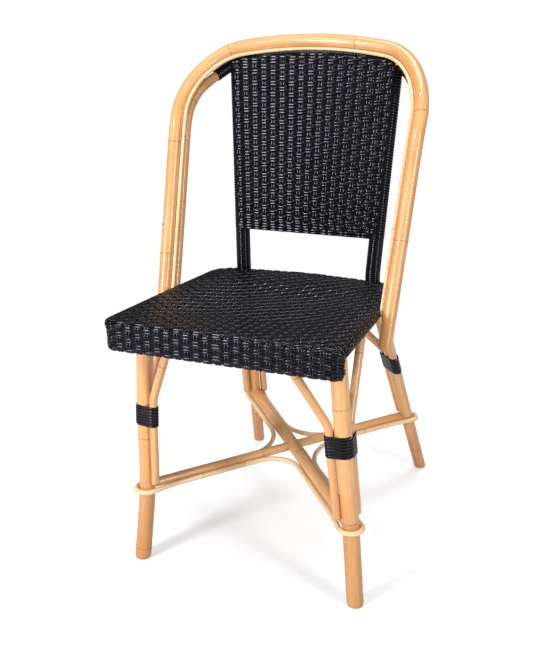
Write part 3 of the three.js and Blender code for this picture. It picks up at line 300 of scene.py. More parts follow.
# Floor, backdrop, light and camera, in metres
WHITE = (1.0, 1.0, 1.0)
FILL_STRENGTH = 0.2
FLOOR_COLOUR = (0.66, 0.67, 0.69)
FLOOR_LIFT = 0.475
FLOOR_FADE_FROM = 0.5
FLOOR_FADE_TO = 1.3
FLOOR_HALF = 6.0
SOFTBOXES = {              # place, target, width, height and power
    "key_softbox": ((-1.12, -2.35, 1.0), (0, 0, 0.6), 0.5, 0.8, 52),
    "high_softbox": ((-0.9, -1.9, 2.2), (0, 0, 0.5), 0.9, 0.22, 18),
    "right_softbox": ((2.3, -1.2, 1.2), (0, 0, 0.5), 0.4, 1.2, 30),
    "top_softbox": ((0.1, 0.3, 2.9), (0, 0, 0.4), 1.3, 1.3, 42),
}
CAMERA_PLACE = (0.5850, -1.48496, 0.97099)
CAMERA_RIGHT = (0.92410634, 0.38158894, -0.02042899)
CAMERA_UP = (-0.11633224, 0.33184303, 0.93613408)
CAMERA_LENS = 51.541
CAMERA_SENSOR_WIDTH = 36.0


# Small helpers for points and paths
def point(*values):
    return np.array(values, float)


ACROSS = point(1.0, 0.0, 0.0)
BACKWARD = point(0.0, 1.0, 0.0)
UPWARD = point(0.0, 0.0, 1.0)


def unit(vector):
    return vector / np.linalg.norm(vector)


def units(vectors):
    return vectors / np.maximum(np.linalg.norm(vectors, axis=-1, keepdims=True), 1e-9)


def interpolated(at, known, rows, period=None):
    """Rows of a table read at given places."""
    return np.stack([np.interp(at, known, column, period=period) for column in np.transpose(rows)], -1)


def lengths_along(path):
    return np.r_[0.0, np.cumsum(np.linalg.norm(np.diff(path, axis=0), axis=1))]


def placed(path, lengths):
    """Points of a path at given lengths along it."""
    return interpolated(lengths, lengths_along(path), path)


def resampled(path, step):
    total = lengths_along(path)[-1]
    return placed(path, np.linspace(0.0, total, max(2, round(total / step)) + 1))


def evened(path, rounds=3):
    """A cane can't turn a sharp corner: its path is evened out, with both ends kept."""
    for _ in range(rounds):
        path[1:-1] = (path[:-2] + path[1:-1] * 2 + path[2:]) / 4
    return path


def fillet_path(corners, arc_step=math.radians(4.0)):
    """Straight stretches joined by arcs. Each corner is (point, radius)."""
    path = [corners[0][0]]
    for (before, _), (at, radius), (after, _) in zip(corners, corners[1:], corners[2:]):
        back = unit(before - at)
        ahead = unit(after - at)
        opening = math.acos(np.clip(back @ ahead, -1.0, 1.0))
        sweep = math.pi - opening
        if radius == 0 or sweep < math.radians(0.5):
            path.append(at)
            continue
        tangent = radius / math.tan(opening / 2)
        centre = at + unit(back + ahead) * radius / math.sin(opening / 2)
        start = at + back * tangent - centre
        end = at + ahead * tangent - centre
        steps = max(4, math.ceil(sweep / arc_step))
        for share in np.linspace(0.0, 1.0, steps + 1):
            turned = start * math.sin((1 - share) * sweep) + end * math.sin(share * sweep)
            path.append(centre + turned / math.sin(sweep))
    path.append(corners[-1][0])
    return np.array(path)


def spline_path(points, steps=24):
    """A smooth curve through points, evenly tense whatever their spacing."""
    points = [np.array(p, float) for p in points]
    held = [points[0] * 2 - points[1], *points, points[-1] * 2 - points[-2]]
    path = []
    for p0, p1, p2, p3 in zip(held, held[1:], held[2:], held[3:]):
        d0, d1, d2 = (math.sqrt(np.linalg.norm(b - a)) for a, b in ((p0, p1), (p1, p2), (p2, p3)))
        t1 = ((p1 - p0) / d0 - (p2 - p0) / (d0 + d1) + (p2 - p1) / d1) * d1
        t2 = ((p2 - p1) / d1 - (p3 - p1) / (d1 + d2) + (p3 - p2) / d2) * d1
        for t in np.linspace(0.0, 1.0, steps, endpoint=False):
            square = (3 * (p2 - p1) - 2 * t1 - t2) * t**2
            cube = (2 * (p1 - p2) + t1 + t2) * t**3
            path.append(p1 + t1 * t + square + cube)
    path.append(points[-1])
    return np.array(path)


def mirrored(path):
    return path * point(-1.0, 1.0, 1.0)


def both_sides(*paths):
    """The side's name and number, and the paths: as they are on the right, then mirrored on the left."""
    yield "right", 0, *paths
    yield "left", 1, *(mirrored(path) for path in paths)


def at_height(path, height):
    order = np.argsort(path[:, 2])
    return interpolated(height, path[order, 2], path[order])


def length_at_height(path, height):
    return float(np.interp(height, path[:, 2], lengths_along(path)))


def directions(path):
    return units(np.gradient(path, axis=0))


def carried_frames(path):
    """Two directions across a path at each point, carried along it without twist."""
    tangents = directions(path)
    first = np.cross(tangents[0], UPWARD)
    if np.linalg.norm(first) < 0.1:
        first = np.cross(tangents[0], BACKWARD)
    across = [unit(first)]
    for tangent in tangents[1:]:
        across.append(unit(across[-1] - tangent * (across[-1] @ tangent)))
    across = np.array(across)
    return tangents, across, np.cross(tangents, across)


def smoothstep(values, low, high):
    share = np.clip((values - low) / (high - low), 0.0, 1.0)
    return share * share * (3 - 2 * share)


# Meshes
def add_attribute(mesh, name, kind, domain, values):
    attribute = mesh.attributes.new(name, kind, domain)
    key = "vector" if kind == "FLOAT_VECTOR" else "value"
    attribute.data.foreach_set(key, np.asarray(values, np.float32).ravel())


def make_object(name, vertices, faces, material, sharp_degrees=50.0):
    mesh = bpy.data.meshes.new(name)
    in_frame = (np.asarray(vertices) + BACKWARD * FRAME_SHIFT_Y) * MM
    mesh.from_pydata(in_frame.tolist(), [], faces)
    mesh.polygons.foreach_set("use_smooth", [True] * len(mesh.polygons))
    mesh.set_sharp_from_angle(angle=math.radians(sharp_degrees))
    mesh.materials.append(material)
    piece = bpy.data.objects.new(name, mesh)
    bpy.context.scene.collection.objects.link(piece)
    return piece


def finish_piece(piece, node):
    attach(piece, "root")
    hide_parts(node)


def tube_faces(start, rings, size):
    """Four-sided faces along a tube whose rings of vertices follow each other."""
    faces = []
    for row in range(start, start + (rings - 1) * size, size):
        for k in range(size):
            a, b = row + k, row + (k + 1) % size
            faces.append((a, b, b + size, a + size))
    return faces


def node_profile(lengths, nodes, radius):
    """How a pole swells at its nodes, and how near each length is to a node's scar."""
    swell = np.zeros_like(lengths)
    scar = np.zeros_like(lengths)
    for node in nodes:
        off = lengths - node
        swell += SWELL_SHARE * np.exp(-((off / SWELL_LENGTH) ** 2))
        swell -= GROOVE_SHARE * np.exp(-(((off - GROOVE_OFFSET) / GROOVE_LENGTH) ** 2))
        scar = np.maximum(scar, np.exp(-((off / SCAR_LENGTH) ** 2)))
    return radius * (1 + swell), scar


def pole_stations(total, step, nodes, bevel, foot):
    """The lengths along a pole at which it has a ring of vertices."""
    stations = set(np.round(np.linspace(0.0, total, max(2, round(total / step)) + 1), 3))
    for node in nodes:
        for off in NODE_STEPS:
            if bevel * 2 < node + off < total - bevel * 2:
                stations.add(round(node + off, 3))
    if foot:
        stations = {0.0, *FOOT_LENGTHS, *(s for s in stations if s > FOOT_LENGTHS[-1] + FOOT_CLEARANCE)}
    else:
        stations.add(bevel)
    return np.array(sorted(stations | {round(total - bevel, 3)}))


def pole_faces(count, sides):
    """The faces of a pole's side, and then those of its two ends."""
    faces = [face[::-1] for face in tube_faces(0, count, sides)]
    faces.append(tuple(range(sides)))
    faces.append(tuple(reversed(range((count - 1) * sides, count * sides))))
    return faces


def level_ring(ring, heights, along):
    """Moves the points of a ring along the pole to given heights."""
    return ring + along * ((heights - ring[:, 2]) / along[2])[:, None]


def pole(name, path, radius, material, node, nodes=(), sides=20, step=6.0, bevel=0.8, seed=0,
         foot=False, cut_by_seat=False):
    """A natural pole along a path: swollen at its nodes, and with a tone of its own between each two."""
    lengths = pole_stations(lengths_along(path)[-1], step, nodes, bevel, foot)
    count = len(lengths)
    centres = placed(path, lengths)
    tangents, across, upright = carried_frames(centres)
    radii, scar = node_profile(lengths, nodes, radius)
    random = np.random.default_rng(seed)
    wander = random.uniform(0, 2 * math.pi, 3)
    waves = [share * np.sin(lengths / long + phase) for (share, long), phase in zip(UNEVEN_WAVES, wander)]
    radii = radii * (1 + sum(waves))
    radii[0] -= bevel
    radii[-1] -= bevel
    if foot:
        radii[:3] = radius - np.array(FOOT_INSETS)
    angles = np.linspace(0, 2 * math.pi, sides, endpoint=False)
    ring = across[:, None] * np.cos(angles)[None, :, None] + upright[:, None] * np.sin(angles)[None, :, None]
    vertices = centres[:, None] + ring * radii[:, None, None]
    if foot:
        for i, height in enumerate(FOOT_HEIGHTS):
            vertices[i] = level_ring(vertices[i], height, tangents[0])
    if cut_by_seat:
        vertices[0] = level_ring(vertices[0], under_seat(vertices[0, :, 1]), tangents[0])
    piece = make_object(name, vertices.reshape(-1, 3), pole_faces(count, sides), material)
    grain = np.stack([
        np.tile(np.cos(angles) * radius, count),
        np.tile(np.sin(angles) * radius, count),
        np.repeat(lengths, sides),
    ], 1)
    bounds = np.r_[-1e9, np.sort(np.array(nodes, float)), 1e9]
    tones = random.uniform(0.0, 1.0, len(bounds))
    tone_of_ring = tones[np.searchsorted(bounds, (lengths[:-1] + lengths[1:]) / 2)]
    add_attribute(piece.data, "grain", "FLOAT_VECTOR", "POINT", grain)
    add_attribute(piece.data, "scar", "FLOAT", "POINT", np.repeat(scar, sides))
    face_tone = np.r_[np.repeat(tone_of_ring, sides), tones[0], tones[0]]
    add_attribute(piece.data, "tone", "FLOAT", "FACE", face_tone)
    add_attribute(piece.data, "sawn", "FLOAT", "FACE", np.r_[np.zeros((count - 1) * sides), 1.0, 1.0])
    finish_piece(piece, node)


class Strands:
    """Half-round strands gathered into one mesh."""

    def __init__(self, seed):
        self.vertices = []
        self.faces = []
        self.grain = []
        self.tone = []
        self.count = 0
        self.random = np.random.default_rng(seed)

    def add(self, points, normals, width, thickness=STRAND_THICKNESS):
        side = units(np.cross(directions(points), normals))
        outward = units(np.cross(side, directions(points)))
        tone = self.random.uniform()
        along = lengths_along(points) + self.random.uniform(0, 900)
        rings = len(points)
        size = len(STRAND_PROFILE)
        across = STRAND_PROFILE[:, 0] * width
        height = STRAND_PROFILE[:, 1] * thickness
        vertices = points[:, None] + side[:, None] * across[None, :, None]
        vertices = vertices + outward[:, None] * height[None, :, None]
        end = self.count + rings * size
        self.faces += tube_faces(self.count, rings, size)
        self.faces.append(tuple(reversed(range(self.count, self.count + size))))
        self.faces.append(tuple(range(end - size, end)))
        self.vertices.append(vertices.reshape(-1, 3))
        self.grain.append(np.stack([
            np.tile(across, rings),
            np.full(size * rings, tone * 50),
            np.repeat(along, size),
        ], 1))
        self.tone.append(np.full(size * rings, tone))
        self.count = end

    def weave(self, points, normals, height, width):
        """Adds a strand that swings by height, from -1 to 1, about the middle of the weave."""
        self.add(points + normals * (height * WEAVE_SWING)[:, None], normals, width)

    def build(self, name, material, node):
        piece = make_object(name, np.concatenate(self.vertices), self.faces, material, 60.0)
        add_attribute(piece.data, "grain", "FLOAT_VECTOR", "POINT", np.concatenate(self.grain))
        add_attribute(piece.data, "tone", "FLOAT", "POINT", np.concatenate(self.tone))
        finish_piece(piece, node)


def weave_height(lengths, stations, signs):
    """Over is 1 and under is -1 at the crossings; the strand eases from one to the next between them."""
    place = np.clip(np.interp(lengths, stations, np.arange(len(stations))), 0, len(stations) - 1)
    index = np.minimum(np.floor(place).astype(int), len(stations) - 2)
    share = np.clip((place - index - 0.5) * WEAVE_STEEPNESS + 0.5, 0.0, 1.0)
    ease = 0.5 - 0.5 * np.cos(math.pi * share)
    signs = np.asarray(signs, float)
    return signs[index] * (1 - ease) + signs[index + 1] * ease


# Materials
def fill_inputs(tree, node, inputs):
    """Sets each input of a node to a value, or links it where a socket is given."""
    for key, value in inputs.items():
        socket = node.inputs[key]
        if isinstance(value, bpy.types.NodeSocket):
            tree.links.new(value, socket)
        elif socket.type == "RGBA":
            socket.default_value = (*value, 1.0)
        else:
            socket.default_value = value


def add_node(tree, kind, inputs, **settings):
    node = tree.nodes.new(kind)
    for key, value in settings.items():
        setattr(node, key, value)
    fill_inputs(tree, node, inputs)
    return node


def new_material(name):
    material = bpy.data.materials.new(name)
    material.use_nodes = True
    return material, material.node_tree, material.node_tree.nodes["Principled BSDF"]


def mix_colour(tree, factor, first, second, blend="MIX"):
    """Mixes two colours. Each input is a socket or a value."""
    inputs = {0: factor, 6: first, 7: second}
    return add_node(tree, "ShaderNodeMix", inputs, data_type="RGBA", blend_type=blend).outputs[2]


def ramp(tree, socket, *stops):
    """Turns a value into a grey between two stops, each a place and a grey."""
    node = add_node(tree, "ShaderNodeValToRGB", {0: socket})
    for element, (place, grey) in zip(node.color_ramp.elements, stops):
        element.position = place
        element.color = (grey, grey, grey, 1.0)
    return node.outputs[0]


def scaled_noise(tree, vector, scale, detail, roughness):
    mapping = add_node(tree, "ShaderNodeMapping", {"Vector": vector, "Scale": scale})
    inputs = {"Vector": mapping.outputs[0], "Scale": 1.0, "Detail": detail, "Roughness": roughness}
    return add_node(tree, "ShaderNodeTexNoise", inputs).outputs["Fac"]


def attribute(tree, name, output="Fac"):
    return add_node(tree, "ShaderNodeAttribute", {}, attribute_name=name).outputs[output]


def bumped(tree, height, strength, distance, under=None):
    inputs = {"Height": height, "Strength": strength, "Distance": distance}
    if under is not None:
        inputs["Normal"] = under
    return add_node(tree, "ShaderNodeBump", inputs).outputs[0]


def rattan(name, light, mid, dark, scar_colour, coat=0.55, roughness=0.38, foot=False):
    """Varnished rattan: streaks along its grain, a tone between each two nodes, dark scars at the nodes."""
    material, tree, shader = new_material(name)
    grain = attribute(tree, "grain", "Vector")
    clouds, streaks, fibres, specks = (scaled_noise(tree, grain, *noise) for noise in POLE_NOISES)
    broken = add_node(tree, "ShaderNodeMath", {
        0: attribute(tree, "scar"),
        1: ramp(tree, streaks, (0.30, 0.35), (0.62, 1.0)),
    }, operation="MULTIPLY")
    layers = [
        (clouds, (0.36, 0.0), (0.62, 1.0), mid),
        (attribute(tree, "tone"), (0.0, 0.0), (1.0, 0.6), mid),
        (streaks, (0.48, 0.0), (0.72, 0.6), dark),
        (fibres, (0.42, 0.0), (0.75, 0.35), dark),
        (specks, (0.64, 0.0), (0.72, 0.65), scar_colour),
        (broken.outputs[0], (0.30, 0.0), (0.85, 0.75), scar_colour),
    ]
    colour = light
    for source, low, high, over in layers:
        colour = mix_colour(tree, ramp(tree, source, low, high), colour, over)
    pores = add_node(tree, "ShaderNodeTexVoronoi", {"Vector": grain, "Scale": PORE_SCALE})
    pored = ramp(tree, pores.outputs["Distance"], (0.15, 0.0), (0.5, 1.0))
    end_grain = mix_colour(tree, pored, dark, light)
    colour = mix_colour(tree, attribute(tree, "sawn"), colour, end_grain)
    # Painted shade: a leg's colour is darkened towards its foot
    if foot:
        colour = mix_colour(tree, painted_foot_shade_share(tree, grain), colour, FOOT_SHADE_COLOUR, "MULTIPLY")
    fill_inputs(tree, shader, {
        "Base Color": colour,
        "Roughness": ramp(tree, fibres, (0.2, roughness - 0.07), (0.8, roughness + 0.10)),
        "Coat Weight": coat,
        "Coat Roughness": 0.16,
        "IOR": VARNISH_IOR,
        "Normal": bumped(tree, fibres, 0.12, 0.0003, bumped(tree, streaks, 0.22, 0.0006)),
    })
    return material


def painted_foot_shade_share(tree, grain):
    """How much painted shade darkens a leg: most near its foot, and none above."""
    height = add_node(tree, "ShaderNodeSeparateXYZ", {0: grain}).outputs["Z"]
    return add_node(tree, "ShaderNodeMapRange", {
        "Value": height,
        "From Min": FOOT_SHADE_FROM,
        "From Max": FOOT_SHADE_TO,
        "To Min": FOOT_SHADE_MOST,
        "To Max": 0.0,
    }, interpolation_type="SMOOTHSTEP").outputs[0]


def black_cane(name, colour, roughness, coat):
    """Glossy dyed flat cane, with faint streaks along each strand and a slight tone of its own."""
    material, tree, shader = new_material(name)
    grain = attribute(tree, "grain", "Vector")
    streaks, patches = (scaled_noise(tree, grain, *noise) for noise in CANE_NOISES)
    lighter = tuple(c * 2.3 + 0.002 for c in colour)
    base = mix_colour(tree, ramp(tree, attribute(tree, "tone"), (0.0, 0.0), (1.0, 0.45)), colour, lighter)
    streaked = mix_colour(tree, ramp(tree, streaks, (0.5, 0.0), (0.8, 0.5)), base, lighter)
    fill_inputs(tree, shader, {
        "Base Color": streaked,
        "Roughness": ramp(tree, patches, (0.25, roughness - 0.03), (0.75, roughness + 0.05)),
        "Coat Weight": coat,
        "Coat Roughness": 0.10,
        "Specular IOR Level": 0.30,
        "Specular Tint": (0.86, 0.84, 1.0),
        "IOR": VARNISH_IOR,
        "Normal": bumped(tree, streaks, 0.05, 0.0003),
    })
    return material


def nail_steel():
    material, tree, shader = new_material("nail_steel")
    coordinates = add_node(tree, "ShaderNodeTexCoord", {}).outputs["Object"]
    marks = scaled_noise(tree, coordinates, *STEEL_NOISE)
    fill_inputs(tree, shader, {
        "Base Color": mix_colour(tree, marks, (0.62, 0.63, 0.66), (0.80, 0.80, 0.82)),
        "Roughness": ramp(tree, marks, (0.3, 0.22), (0.7, 0.42)),
        "Metallic": 1.0,
    })
    return material


POLE = rattan(
    "rattan_pole", (0.87, 0.49, 0.22), (0.74, 0.36, 0.125), (0.50, 0.22, 0.065), (0.28, 0.11, 0.035))
# Leg rattan, with painted shade that darkens it towards the feet
LEG = rattan(
    "rattan_leg", (0.92, 0.53, 0.24), (0.81, 0.41, 0.145), (0.52, 0.23, 0.07), (0.26, 0.10, 0.03), foot=True)
BRACE = rattan(
    "rattan_brace", (0.87, 0.51, 0.24), (0.74, 0.38, 0.145), (0.50, 0.23, 0.08), (0.24, 0.09, 0.03))
STRETCHER = rattan(
    "stretcher_rattan", (0.86, 0.50, 0.23), (0.73, 0.38, 0.15), (0.48, 0.22, 0.075), (0.22, 0.09, 0.035))
TRIM = rattan(
    "trim_cane", (0.97, 0.72, 0.45), (0.92, 0.62, 0.34), (0.72, 0.43, 0.20), (0.34, 0.17, 0.07), 0.35, 0.42)
DARK_INNER = rattan(
    "stained_rattan", (0.02, 0.016, 0.014), (0.015, 0.012, 0.011), (0.01, 0.008, 0.008), (0.01, 0.008, 0.008),
    0.0, 0.7)
WEAVE = black_cane("woven_black_cane", (0.0016, 0.0014, 0.0024), 0.14, 0.05)
BINDING = black_cane("binding_black_cane", (0.0028, 0.0025, 0.0036), 0.15, 0.1)


# Paths of the poles
def post_plane_y(height):
    return POST_BEND[1] + (height - POST_BEND[2]) * BACK_LEAN


front_leg_path = spline_path([FRONT_FOOT, FRONT_RING, FRONT_BINDING, FRONT_TOP])
post_top = point(POST_TOP_X, post_plane_y(POST_TOP_Z), POST_TOP_Z)
rear_post_path = fillet_path([
    (point(*REAR_FOOT), 0),
    (point(*POST_BEND), POST_BEND_RADIUS),
    (post_top, 0),
])
REAR_SLANT = math.hypot(1.0, (REAR_FOOT[1] - POST_BEND[1]) / POST_BEND[2])


def hoop_outline(foot_half, foot_z, corner_half, corner_z, crown_z, corner_radius):
    return fillet_path([
        (point(foot_half, 0.0, foot_z), 0),
        (point(corner_half, 0.0, corner_z), corner_radius),
        (point(0.0, 0.0, crown_z), HOOP_CROWN_RADIUS),
        (point(-corner_half, 0.0, corner_z), corner_radius),
        (point(-foot_half, 0.0, foot_z), 0),
    ], math.radians(1.5))


CROWN_RISE = HOOP_CROWN_Z - HOOP_BEND_Z


def hoop_rise(height):
    return np.maximum(0.0, height - HOOP_BEND_Z) / CROWN_RISE


def hoop_side(height):
    return HOOP_SIDE_Y + HOOP_LEAN * (height - HOOP_SIDE_Z) + HOOP_SETBACK * hoop_rise(height)**2


def hoop_slope(height):
    return HOOP_LEAN + 2 * HOOP_SETBACK * hoop_rise(height) / CROWN_RISE


def with_side(outline, side):
    path = resampled(outline, HOOP_STEP)
    path[:, 1] = side(path[:, 2])
    return path


OUTER_BEND = (HOOP_CORNER_HALF, HOOP_CORNER_Z, HOOP_CROWN_Z, HOOP_CORNER_RADIUS)
hoop_path = with_side(hoop_outline(HOOP_FOOT_HALF, HOOP_FOOT_Z, *OUTER_BEND), hoop_side)
inner_reach = OUTER_HOOP_RADIUS + INNER_HOOP_RADIUS + FIT_GAP * 3
inner_inset = inner_reach * math.cos(math.radians(INNER_HOOP_ANGLE))


def inner_hoop_side(height):
    setback = inner_reach * math.sin(math.radians(INNER_HOOP_ANGLE)) * np.hypot(1.0, hoop_slope(height))
    share = smoothstep(height, INNER_LEAVE_Z, INNER_JOIN_Z)
    return (hoop_side(height) + setback) * (1 - share) + post_plane_y(height) * share


foot_share = (INNER_FOOT_Z - HOOP_FOOT_Z) / (HOOP_CORNER_Z - HOOP_FOOT_Z)
hoop_half_at_seat = HOOP_FOOT_HALF + (HOOP_CORNER_HALF - HOOP_FOOT_HALF) * foot_share
inner_hoop_path = with_side(
    hoop_outline(
        hoop_half_at_seat - inner_inset, INNER_FOOT_Z, HOOP_CORNER_HALF - inner_inset,
        HOOP_CORNER_Z - INNER_CORNER_DROP, HOOP_CROWN_Z - INNER_CROWN_DROP, INNER_CORNER_RADIUS),
    inner_hoop_side)


def infill():
    """The path of the cane in the groove between the hoops."""
    guide = with_side(hoop_outline(hoop_half_at_seat, INNER_FOOT_Z, *OUTER_BEND), hoop_side)
    tangents = directions(guide)
    inward = units(np.stack([-tangents[:, 2], np.zeros(len(guide)), tangents[:, 0]], 1))
    backward = units(np.cross(tangents, inward))
    backward = backward * np.sign(backward[:, 1:2])
    share = smoothstep(guide[:, 2], HOOP_BEND_Z, HOOP_CROWN_Z - INNER_CROWN_DROP)
    angle = np.radians(INFILL_LEG_ANGLE + (INFILL_CROWN_ANGLE - INFILL_LEG_ANGLE) * share)[:, None]
    reach = OUTER_HOOP_RADIUS + INFILL_RADIUS + FIT_GAP
    return guide + inward * reach * np.cos(angle) + backward * reach * np.sin(angle)


infill_path = infill()


# Seat outline and surface
SEAT_CENTRE_Y = (SEAT_FRONT_Y + SEAT_REAR_Y) / 2
SEAT_DEPTH = SEAT_REAR_Y - SEAT_FRONT_Y


def seat_top_z(y):
    return SEAT_TOP_Z - (y - SEAT_FRONT_Y) * SEAT_SLOPE


def under_seat(y):
    return seat_top_z(y) - SEAT_HEIGHT - FIT_GAP


def seat_corners(inset, front_corner, rear_corner):
    """The right half of the seat's outline, from the middle of its front to the middle of its rear."""
    front = SEAT_FRONT_Y + inset
    rear = SEAT_REAR_Y - inset
    middle_half = (SEAT_FRONT_HALF + SEAT_REAR_HALF) / 2 - inset + SEAT_SIDE_BOW
    return [
        (point(0.0, front, 0.0), 0),
        (point(SEAT_FRONT_HALF - inset, front, 0.0), front_corner),
        (point(middle_half, SEAT_CENTRE_Y, 0.0), SEAT_DEPTH * SEAT_SIDE_EASE_SHARE),
        (point(SEAT_REAR_HALF - inset, rear, 0.0), rear_corner),
        (point(0.0, rear + SEAT_REAR_BOW, 0.0), 0),
    ]


def seat_loop():
    """The closed outline of the seat, anticlockwise seen from above, and its outward directions."""
    right = fillet_path(seat_corners(0.0, SEAT_FRONT_CORNER, SEAT_REAR_CORNER), math.radians(3.0))
    loop = np.concatenate([right[:-1], mirrored(right)[::-1][:-1]])
    even = resampled(np.concatenate([loop, loop[:1]]), OUTLINE_STEP)[:-1]
    tangent = units(np.roll(even, -1, 0) - np.roll(even, 1, 0))
    outward = np.stack([tangent[:, 1], -tangent[:, 0], np.zeros(len(even))], 1)
    return even, outward


outline, outline_outward = seat_loop()
outline_lengths = lengths_along(np.concatenate([outline, outline[:1]]))
OUTLINE_TOTAL = outline_lengths[-1]
top_loop = outline - outline_outward * SEAT_ROUND


def half_width(y):
    share = np.clip((y - SEAT_FRONT_Y) / SEAT_DEPTH, 0.0, 1.0)
    straight = SEAT_FRONT_HALF + (SEAT_REAR_HALF - SEAT_FRONT_HALF) * share
    return straight + SEAT_SIDE_BOW * 4 * share * (1 - share)


def seat_surface_z(x, y):
    """The dished top of the seat."""
    band = SEAT_SKIN + RIM_RAIL_RADIUS * 2
    across = np.abs(x) / (half_width(y) - band)
    depth = np.abs(y - SEAT_CENTRE_Y) / (SEAT_DEPTH / 2 - band)
    share = (across**SEAT_DISH_POWER + depth**SEAT_DISH_POWER) ** (1 / SEAT_DISH_POWER)
    return seat_top_z(y) - SEAT_DISH * (1 - smoothstep(share, SEAT_DISH_FLAT_SHARE, 1.0)) - MIDDLE_INSET


def rim_profile(p):
    """Inset, drop and tilt from up towards outward, at a length p round the rim from the flat top."""
    radius = SEAT_ROUND - MIDDLE_INSET
    quarter = radius * math.pi / 2
    side = SEAT_HEIGHT - 2 * SEAT_ROUND
    first = np.clip(p, 0, quarter) / radius
    second = np.clip(p - quarter - side, 0, quarter) / radius
    inset = SEAT_ROUND - radius * np.sin(first) + radius * (1 - np.cos(second))
    inset = inset + np.clip(p - 2 * quarter - side, 0, None) - np.clip(p, None, 0)
    drop = MIDDLE_INSET + radius * (1 - np.cos(first)) + np.clip(p - quarter, 0, side)
    return inset, drop + radius * np.sin(second), first + second


# The pairs of strands round the rim, under it and round the apron, at lengths down the rim's profile
rim_quarter = (SEAT_ROUND - MIDDLE_INSET) * math.pi / 2
rim_end = 2 * rim_quarter + SEAT_HEIGHT - 2 * SEAT_ROUND + SEAT_LIP - SEAT_ROUND
RIM_RINGS = [FIRST_RING, FIRST_RING + RING_PITCH]
UNDER_RINGS = [FIRST_RING + RING_PITCH * 2, FIRST_RING + RING_PITCH * 3 - LAST_RING_SHIFT]
APRON_RINGS = [FIRST_RING + RING_PITCH * j for j in range(2, 6)]

# The apron's profile, as depth from the front and drop, from the rim down, under it and up its back
foot_bend = APRON_FOOT_ROUND - MIDDLE_INSET
APRON_PROFILE = fillet_path([
    (point(MIDDLE_INSET, SEAT_ROUND), 0),
    (point(MIDDLE_INSET, APRON_HEIGHT - MIDDLE_INSET), foot_bend),
    (point(APRON_DEPTH - MIDDLE_INSET, APRON_HEIGHT - MIDDLE_INSET), foot_bend),
    (point(APRON_DEPTH - MIDDLE_INSET, SEAT_HEIGHT + MIDDLE_INSET), 0),
], math.radians(12.0))
APRON_LENGTHS = lengths_along(APRON_PROFILE)
apron_end = rim_quarter + float(APRON_LENGTHS[-1])
foot_end = 2 * (rim_quarter + APRON_HEIGHT - APRON_FOOT_ROUND - SEAT_ROUND) + foot_bend * math.pi
foot_end += APRON_DEPTH - 2 * APRON_FOOT_ROUND
APRON_REAR_RINGS = [foot_end - ring for ring in reversed(APRON_RINGS[1:])]
corner_steps = np.flatnonzero((outline[:, 1] < SEAT_FRONT_Y + SEAT_FRONT_CORNER) & (outline[:, 0] > 0))
APRON_REACH = float(outline_lengths[corner_steps[-1]])


def from_front(s):
    """Lengths round the outline, measured to both sides from the middle of the front."""
    return (s + OUTLINE_TOTAL / 2) % OUTLINE_TOTAL - OUTLINE_TOTAL / 2


def on_apron(s):
    return np.abs(from_front(s)) < APRON_REACH


def rim_points(s, p):
    """Points and outward normals of the rim at lengths s round the outline and p down the profile."""
    inset, drop, tilt = rim_profile(p)
    below = on_apron(s) & (p > rim_quarter)
    down = p - rim_quarter
    shape = interpolated(down, APRON_LENGTHS, APRON_PROFILE)
    slope = interpolated(down, APRON_LENGTHS, directions(APRON_PROFILE))
    inset = np.where(below, shape[:, 0], inset)
    drop = np.where(below, shape[:, 1], drop)
    tilt = np.where(below, math.pi / 2 + np.arctan2(slope[:, 0], slope[:, 1]), tilt)
    where = np.mod(s, OUTLINE_TOTAL)
    foot = interpolated(where, outline_lengths[:-1], outline, OUTLINE_TOTAL)
    out = units(interpolated(where, outline_lengths[:-1], outline_outward, OUTLINE_TOTAL))
    # The ends of the apron lie a little inside the sides of the seat
    settled = np.where(below, np.clip(down / APRON_END_EASE, 0.0, 1.0), 0.0)
    inset = inset + APRON_END_INSET * np.clip(np.abs(out[:, 0]), 0.0, 1.0) ** 2 * settled
    points = foot - out * inset[:, None]
    points[:, 2] = seat_top_z(points[:, 1]) - drop
    upward = point(0.0, SEAT_SLOPE, 1.0)
    return points, units(upward * np.cos(tilt)[:, None] + out * np.sin(tilt)[:, None])


def loop_meets(start, end):
    """Where a stretch from start to end leaves the flat top: length round the outline, and point."""
    after = np.roll(top_loop, -1, 0)
    d = (end - start)[:2]
    e = (after - top_loop)[:, :2]
    f = top_loop[:, :2] - start[:2]
    cross = d[0] * e[:, 1] - d[1] * e[:, 0]
    cross = np.where(np.abs(cross) < 1e-9, 1e-9, cross)
    t = (f[:, 0] * e[:, 1] - f[:, 1] * e[:, 0]) / cross
    u = (f[:, 0] * d[1] - f[:, 1] * d[0]) / cross
    hits = np.flatnonzero((u >= 0) & (u < 1) & (t > 0) & (t < 1))
    if not len(hits):
        return None
    i = hits[np.argmin(t[hits])]
    step = outline_lengths[i + 1] - outline_lengths[i]
    return outline_lengths[i] + u[i] * step, top_loop[i] + (after[i] - top_loop[i]) * u[i]


# Seat weave
seat_rows = np.arange(
    SEAT_FRONT_Y + SEAT_FIRST_ROW_INSET, SEAT_REAR_Y + SEAT_REAR_BOW - SEAT_LAST_ROW_INSET, SEAT_ROW_PITCH)


def column_x(c, y):
    return c * SEAT_COLUMN_PITCH * half_width(y) / SEAT_FRONT_HALF


def rings_below(s):
    """The pairs of strands that one crosses on its way down the rim."""
    if on_apron(s):
        return RIM_RINGS + APRON_RINGS + APRON_REAR_RINGS
    return RIM_RINGS + UNDER_RINGS


